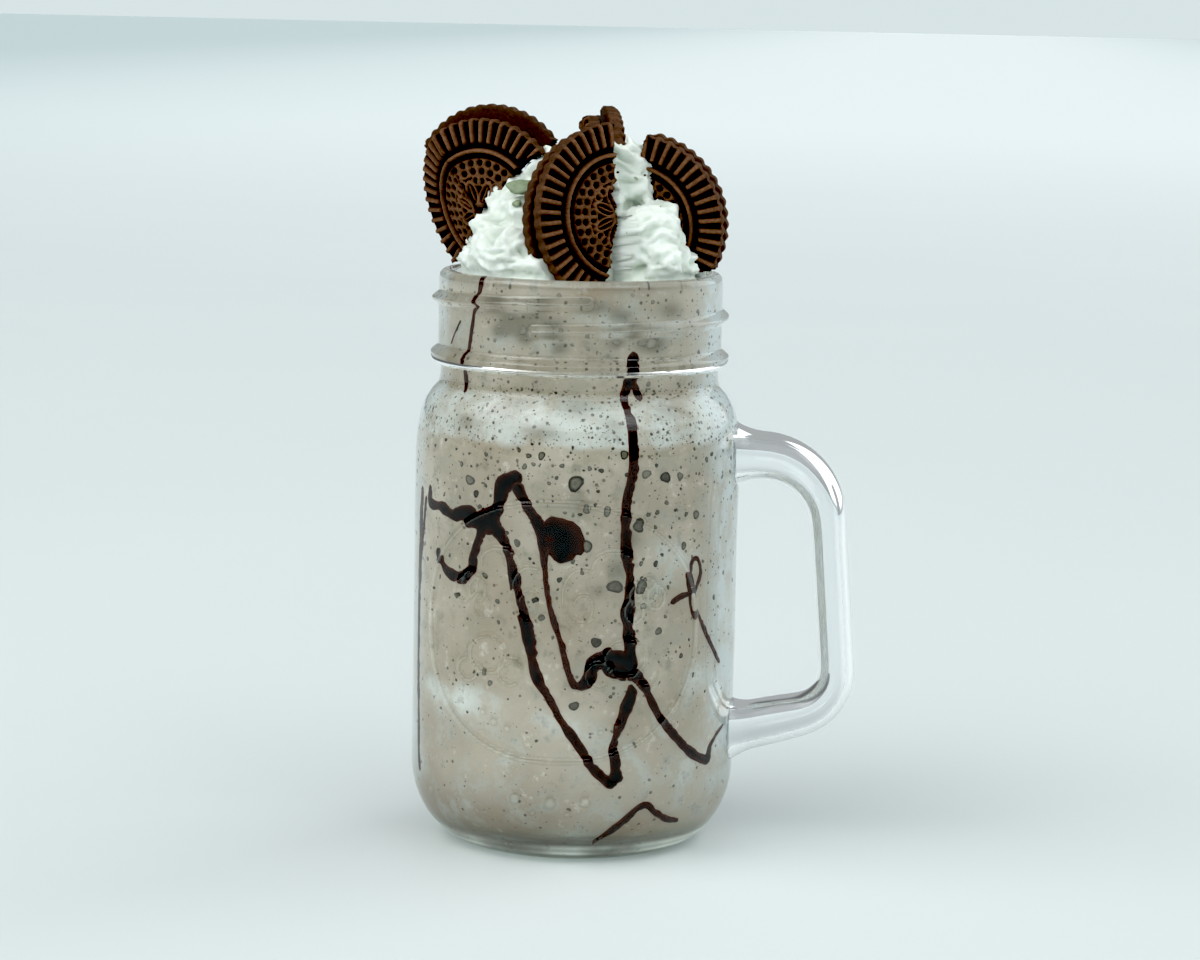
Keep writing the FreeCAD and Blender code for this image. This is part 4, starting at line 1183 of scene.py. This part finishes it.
def make_wafer(name, place, first, last, broken, ridged=True, cut=None):
    """Broken wafer: stamped face, scalloped rim and rough broken edge.

    Cut is a point and a direction of a crack; what lies beyond it is taken away.
    """
    phase = first + 180 / RIDGE_COUNT
    arc_length = math.radians(last - first) * COOKIE_RADIUS
    across = max(8, int(arc_length / 0.26))
    shares = np.linspace(0, 1, across + 1)
    angles = np.radians(first + (last - first) * shares)
    scallop = 0.5 - 0.5 * np.cos((np.degrees(angles) - phase) * math.radians(RIDGE_COUNT))
    rim_r = COOKIE_RADIUS - 0.05 - 0.55 * scallop**1.5
    rim = np.stack([rim_r * np.cos(angles), rim_r * np.sin(angles)], axis=1)
    edge = [(COOKIE_RADIUS * s * math.cos(math.radians(a)), COOKIE_RADIUS * s * math.sin(math.radians(a)))
            for s, a in reversed(broken)]
    inner = along_line(edge, shares)
    depth = max(6, int(np.max(np.linalg.norm(rim - inner, axis=1)) / 0.33))
    ruled = np.linspace(0, 1, depth + 1)[:, None, None]
    flat = rim[None] * (1 - ruled) + inner[None] * ruled
    x, y = flat[..., 0], flat[..., 1]
    relief = cookie_relief(x, y, phase) if ridged else 0 * x
    from_rim = COOKIE_RADIUS - 0.3 - np.hypot(x, y)
    rounding = 0.7 * (1 - smooth(from_rim, -0.3, 0.9)) ** 2
    top = relief * RELIEF_HEIGHT - (1 - relief) * (GROOVE_DEPTH if ridged else 0) - rounding
    bottom = -WAFER_THICKNESS + 0.5 * rounding
    rows, columns = x.shape
    levels = 9
    loop = [(0, c) for c in range(columns)]
    loop += [(r, columns - 1) for r in range(1, rows)]
    loop += [(rows - 1, c) for c in range(columns - 2, -1, -1)]
    loop += [(r, 0) for r in range(rows - 2, 0, -1)]
    loop_r = np.array([r for r, c in loop])
    loop_c = np.array([c for r, c in loop])
    upper = np.stack([x, y, top], axis=2)
    lower = np.stack([x, y, bottom], axis=2)
    wall = []
    for level in range(1, levels):
        share = level / levels
        wall.append(upper[loop_r, loop_c] * (1 - share) + lower[loop_r, loop_c] * share)
    on_rim = (loop_r == 0).astype(float)
    verts = np.vstack([upper.reshape(-1, 3), lower.reshape(-1, 3), *wall])
    size = rows * columns
    faces = grid_faces(rows, columns)
    faces += [quad[::-1] for quad in grid_faces(rows, columns, size)]
    belts = [loop_r * columns + loop_c]
    for level in range(levels - 1):
        belts.append(2 * size + level * len(loop) + np.arange(len(loop)))
    belts.append(size + loop_r * columns + loop_c)
    for one, two in zip(belts, belts[1:]):
        quads = np.stack([one, two, np.roll(two, -1), np.roll(one, -1)], axis=1)
        faces += quads.tolist()
    # how near each vertex is to the broken edge
    row_of = np.arange(rows)[:, None] * np.ones(columns)
    col_of = np.ones(rows)[:, None] * np.arange(columns)
    to_edge = np.minimum((rows - 1 - row_of) * 0.33, np.minimum(col_of, columns - 1 - col_of) * 0.26)
    weight = 1 - smooth(to_edge, 0.0, 1.3)
    weight = np.concatenate([weight.ravel(), weight.ravel(), np.tile(1 - 0.75 * on_rim, levels - 1)])
    shade = np.concatenate([relief.ravel(), 0.35 + 0 * relief.ravel(),
                            np.tile(0.3 + 0.25 * on_rim, levels - 1)])
    frame_rotation = np.array(place.to_3x3())
    origin = np.array(place.translation)
    verts = verts @ frame_rotation.T + origin
    for index in np.where(weight > 0.02)[0]:
        p = Vector(verts[index])
        shake = noise.noise_vector(p * 0.7) * 0.55 + noise.noise_vector(p * 2.1) * 0.35
        verts[index] += np.array(shake) * weight[index]
        shade[index] = shade[index] * (1 - weight[index] * 0.5) + 0.2 * weight[index] * abs(shake.x) * 3
    item = new_object(name, verts, faces)
    # the relief attribute holds the painted light and shade of the stamped face
    paint(item, "relief", np.clip(shade, 0, 1))
    if cut:
        point, direction = cut
        mesh = bmesh.new()
        mesh.from_mesh(item.data)
        parts = mesh.verts[:] + mesh.edges[:] + mesh.faces[:]
        bmesh.ops.bisect_plane(mesh, geom=parts, plane_co=Vector(point) * MM,
                               plane_no=direction, clear_outer=True)
        rims = [one for one in mesh.edges if one.is_boundary]
        bmesh.ops.holes_fill(mesh, edges=rims, sides=0)
        bmesh.ops.triangulate(mesh, faces=[face for face in mesh.faces if len(face.verts) > 4])
        mesh.to_mesh(item.data)
        mesh.free()
        item.data.shade_smooth()
    return item


def back_of(place, slip=(0, 0)):
    """Frame of a cookie's back wafer."""
    return turned_over(behind(place, 2 * WAFER_THICKNESS + FILLING_THICKNESS, slip))


def make_cookies(biscuit):
    """Every wafer of the four broken cookies. The fillings stay CAD nodes."""
    middle = MIDDLE_COOKIE
    edge = [(0.72, 253), (0.54, 255), (0.35, 251), (0.15, 250), (0.08, 121), (0.25, 109),
            (0.39, 92), (0.50, 97), (0.53, 91), (0.60, 94), (0.66, 89), (0.70, 91), (0.89, 91)]
    back = [(0.62, 248), (0.20, 245), (0.20, 105), (0.66, 92)]
    pieces = [
        ("cookie_middle_front", make_wafer("middle_wafer_front", middle, 90, 255, edge)),
        ("cookie_middle_back", make_wafer("middle_wafer_back", back_of(middle, (0, -1)),
                                          *seen_from_behind(91, 256, back))),
    ]
    right = cookie_frame((12.2, -3.6, 148), -6.5, -5)
    edge = [(0.92, 82), (0.81, 82), (0.67, 79), (0.57, 72), (0.45, 76), (0.39, 65), (0.40, 42),
            (0.45, 25), (0.48, 10), (0.52, -5), (0.55, -21), (0.66, -27), (0.74, -40)]
    back = [(0.60, 80), (0.46, 50), (0.54, 10), (0.66, -24), (0.74, -39)]
    pieces += [
        ("cookie_right_front", make_wafer("right_wafer_front", right, -28, 80, edge)),
        ("cookie_right_back", make_wafer("right_wafer_back", back_of(right),
                                         *seen_from_behind(-28, 79, back))),
    ]
    rear = cookie_frame((6.0, 11.0, 153.8), 104.5, 0)
    pieces += [
        ("cookie_rear_front", make_wafer("rear_wafer_front", rear, 84, 145,
                                         [(0.45, 140), (0.40, 90)])),
        ("cookie_rear_back", make_wafer("rear_wafer_back", back_of(rear), *seen_from_behind(
            112, 142, [(0.45, 140), (0.45, 100), (0.80, 88), (0.84, 100)]))),
    ]
    place = Vector((-23.9, -5.7, 150.7))
    upper, lower = cookie_frame(place, -20.5, 0), cookie_frame(place, -46.5, -18)
    normal_1, normal_2 = upper.to_3x3().col[2], lower.to_3x3().col[2]
    crack = normal_2.cross(normal_1).normalized()
    if crack.z < 0:
        crack = -crack
    facing = crack.cross(normal_1 + normal_2).normalized()
    if facing.dot(lower.to_3x3() @ Vector((-1, -1, 0))) < 0:
        facing = -facing
    half_gap = facing * 0.15
    edge = [(0.03, 90), (0.31, 34), (0.47, 41), (0.64, 46), (0.80, 47), (0.92, 43)]
    pieces.append(("cookie_left_front_upper", make_wafer(
        "left_wafer_upper", upper, 41, 130, edge, cut=(place - half_gap, facing))))
    edge = [(0.84, 224), (0.68, 232), (0.55, 238), (0.45, 242), (0.32, 269), (0.22, 260),
            (0.21, 232), (0.10, 264), (0.03, 200)]
    pieces.append(("cookie_left_front_lower", make_wafer(
        "left_wafer_lower", lower, 119, 220, edge, cut=(place + half_gap, -facing))))
    back = [(0.55, 150), (0.30, 80), (0.45, 50), (0.80, 38)]
    pieces.append(("cookie_left_back", make_wafer(
        "left_wafer_back", back_of(upper, (0, 3.2)), *seen_from_behind(40, 148, back))))
    for node, piece in pieces:
        give(piece, biscuit, "chocolate_wafer", node)


def make_crumbs():
    """Biscuit crumbs on the cream."""
    verts, faces = [], []
    for _ in range(46):
        azimuth = RANDOM.uniform(0, 360)
        far = RANDOM.uniform(6, 27)
        size = RANDOM.uniform(0.18, 0.55)
        start = Vector((far * math.cos(azimuth), far * math.sin(azimuth), 180)) * MM
        hit, where, _, _ = cream.ray_cast(start, Vector((0, 0, -1)))
        if not hit:
            continue
        base = bmesh.new()
        bmesh.ops.create_icosphere(base, subdivisions=2, radius=size)
        first = len(verts)
        for vert in base.verts:
            rough = 1 + 0.5 * noise.noise(vert.co * 4 + where / MM)
            verts.append(list(where / MM + vert.co * rough))
        faces += [[vert.index + first for vert in face.verts] for face in base.faces]
        base.free()
    item = new_object("biscuit_crumbs", verts, faces)
    paint(item, "relief", np.full(len(verts), 0.3))
    return item


# ---------------------------------------------------------------- pieces
glass = glass_material()
biscuit = biscuit_material("chocolate_wafer", (0.25, 0.13, 0.074), (0.0095, 0.0038, 0.002), 1500.0)
give(make_jar(), glass, "clear_glass", "jar")
give(make_drink(), drink_material(), "milkshake", "milkshake")
give(make_bubbles(), bubble_material(), "milkshake")
give(make_sauce(), sauce_material(), "cookie_filling")
cream = give(make_cream(), cream_material(), "whipped_cream", "whipped_cream")
give(make_flecks(), herb_material(), "whipped_cream")
make_cookies(biscuit)
give(make_crumbs(), biscuit, "chocolate_wafer")
filling = filling_material()
for name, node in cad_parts.items():
    if name.endswith("filling"):
        node.data.materials.clear()
        node.data.materials.append(filling)

# ---------------------------------------------------------------- floor, light and camera
FLOOR_SIZE = 30.0
floor = new_object("floor", np.array([(-1, -1, 0), (1, -1, 0), (1, 1, 0), (-1, 1, 0)])
                   * FLOOR_SIZE / MM, [[0, 1, 2, 3]])
material, nodes, where = new_material("pale_floor")
cloud = nodes.noise(where, 3.0, 2.0)
pale = nodes.mix(cloud, (0.685, 0.73, 0.73), (0.73, 0.77, 0.765))
across, away, _ = nodes.add("ShaderNodeSeparateXYZ", Vector=where).outputs
across = nodes.math("ABSOLUTE", across)
# painted light on the floor: paler far away, darker out to the sides
pale = nodes.mix(nodes.range(away, 0.5, 5.0), pale, (0.88, 0.93, 0.935))
shader = nodes.add(
    "ShaderNodeBsdfPrincipled",
    Base_Color=nodes.mix(nodes.range(across, 0.25, 3.5), pale, (0.60, 0.69, 0.70)),
    Roughness=0.55,
)
surface(nodes, shader.outputs[0])
floor.data.materials.append(material)

CAMERA_TURN = 6.5


def make_world():
    """Studio surroundings: pale, dark low down behind the camera, bright box above the front."""
    world = bpy.data.worlds.new("studio")
    bpy.context.scene.world = world
    world.use_nodes = True
    sky = Nodes(world.node_tree)
    where = sky.add("ShaderNodeTexCoord").outputs["Generated"]
    x, y, z = sky.add("ShaderNodeSeparateXYZ", Vector=where).outputs
    azimuth = sky.math("MULTIPLY", sky.math("ARCTAN2", x, sky.math("MULTIPLY", y, -1.0)), 57.29578)
    elevation = sky.math("MULTIPLY", sky.math("ARCSINE", z), 57.29578)

    def window(left, right, low, high, soft):
        """1 inside a range of azimuth and elevation, with soft edges."""
        share = sky.range(azimuth, left, left + soft)
        share = sky.math("MULTIPLY", share, sky.range(azimuth, right - soft, right, 1.0, 0.0))
        share = sky.math("MULTIPLY", share, sky.range(elevation, low, low + soft))
        return sky.math("MULTIPLY", share, sky.range(elevation, high - soft, high, 1.0, 0.0))

    level = sky.math("SUBTRACT", 0.43, sky.math("MULTIPLY", window(-80, 92, -30, 24, 14), 0.34))
    for bright, place in (
        (1.4, (-100, 104, 21, 62, 4)), (-0.27, (-165, -80, -40, 62, 10)), (1.5, (104, 150, 0, 66, 6)),
        (2.0, (-72, -22, 27, 56, 6)), (1.6, (36, 62, 30, 52, 6)),
    ):
        level = sky.math("ADD", level, sky.math("MULTIPLY", window(*place), bright))
    seen = sky.add("ShaderNodeLightPath").outputs["Is Camera Ray"]
    colour = sky.mix(seen, (0.93, 0.985, 1.0), (0.87, 0.98, 1.0))
    level = sky.math("ADD", sky.math("MULTIPLY", level, sky.math("SUBTRACT", 1.0, seen)),
                     sky.math("MULTIPLY", seen, 0.8))
    shader = sky.add("ShaderNodeBackground", Color=colour, Strength=level)
    sky.add("ShaderNodeOutputWorld", Surface=shader.outputs[0])


make_world()

key = bpy.data.lights.new("key_softbox", "AREA")
key.shape = "RECTANGLE"
key.size, key.size_y = 0.9, 0.7
key.energy = 3.25
key.color = (1.0, 0.985, 0.96)
key_object = bpy.data.objects.new("key_softbox", key)
key_object.location = (-0.75, -0.35, 1.25)
aim = Vector((0, 0, 0.08)) - key_object.location
key_object.rotation_euler = aim.to_track_quat("-Z", "Y").to_euler()
bpy.context.scene.collection.objects.link(key_object)

camera = bpy.data.cameras.new("camera")
camera.lens, camera.sensor_width = 99.0, 36.0
camera.clip_start, camera.clip_end = 0.05, 100.0
camera_object = bpy.data.objects.new("camera", camera)
pitch, roll, yaw = 0.143, 0.021, 0.007
forward = Vector((math.sin(yaw) * math.cos(pitch), math.cos(yaw) * math.cos(pitch), -math.sin(pitch)))
right = forward.cross(Vector((0, 0, 1))).normalized()
up = right.cross(forward)
tilted_right = right * math.cos(roll) + up * math.sin(roll)
tilted_up = up * math.cos(roll) - right * math.sin(roll)
axes = Matrix((tilted_right, tilted_up, -forward)).transposed().to_4x4()
spin = Matrix.Rotation(math.radians(CAMERA_TURN), 4, "Z")
camera_object.matrix_world = spin @ Matrix.Translation((0, -0.7846, 0.1996)) @ axes
bpy.context.scene.collection.objects.link(camera_object)
bpy.context.scene.camera = camera_object
view = bpy.context.scene.view_settings
view.view_transform = "Standard"
view.use_curve_mapping = True
view.curve_mapping.black_level = (0.034, 0.034, 0.034)
view.curve_mapping.update()
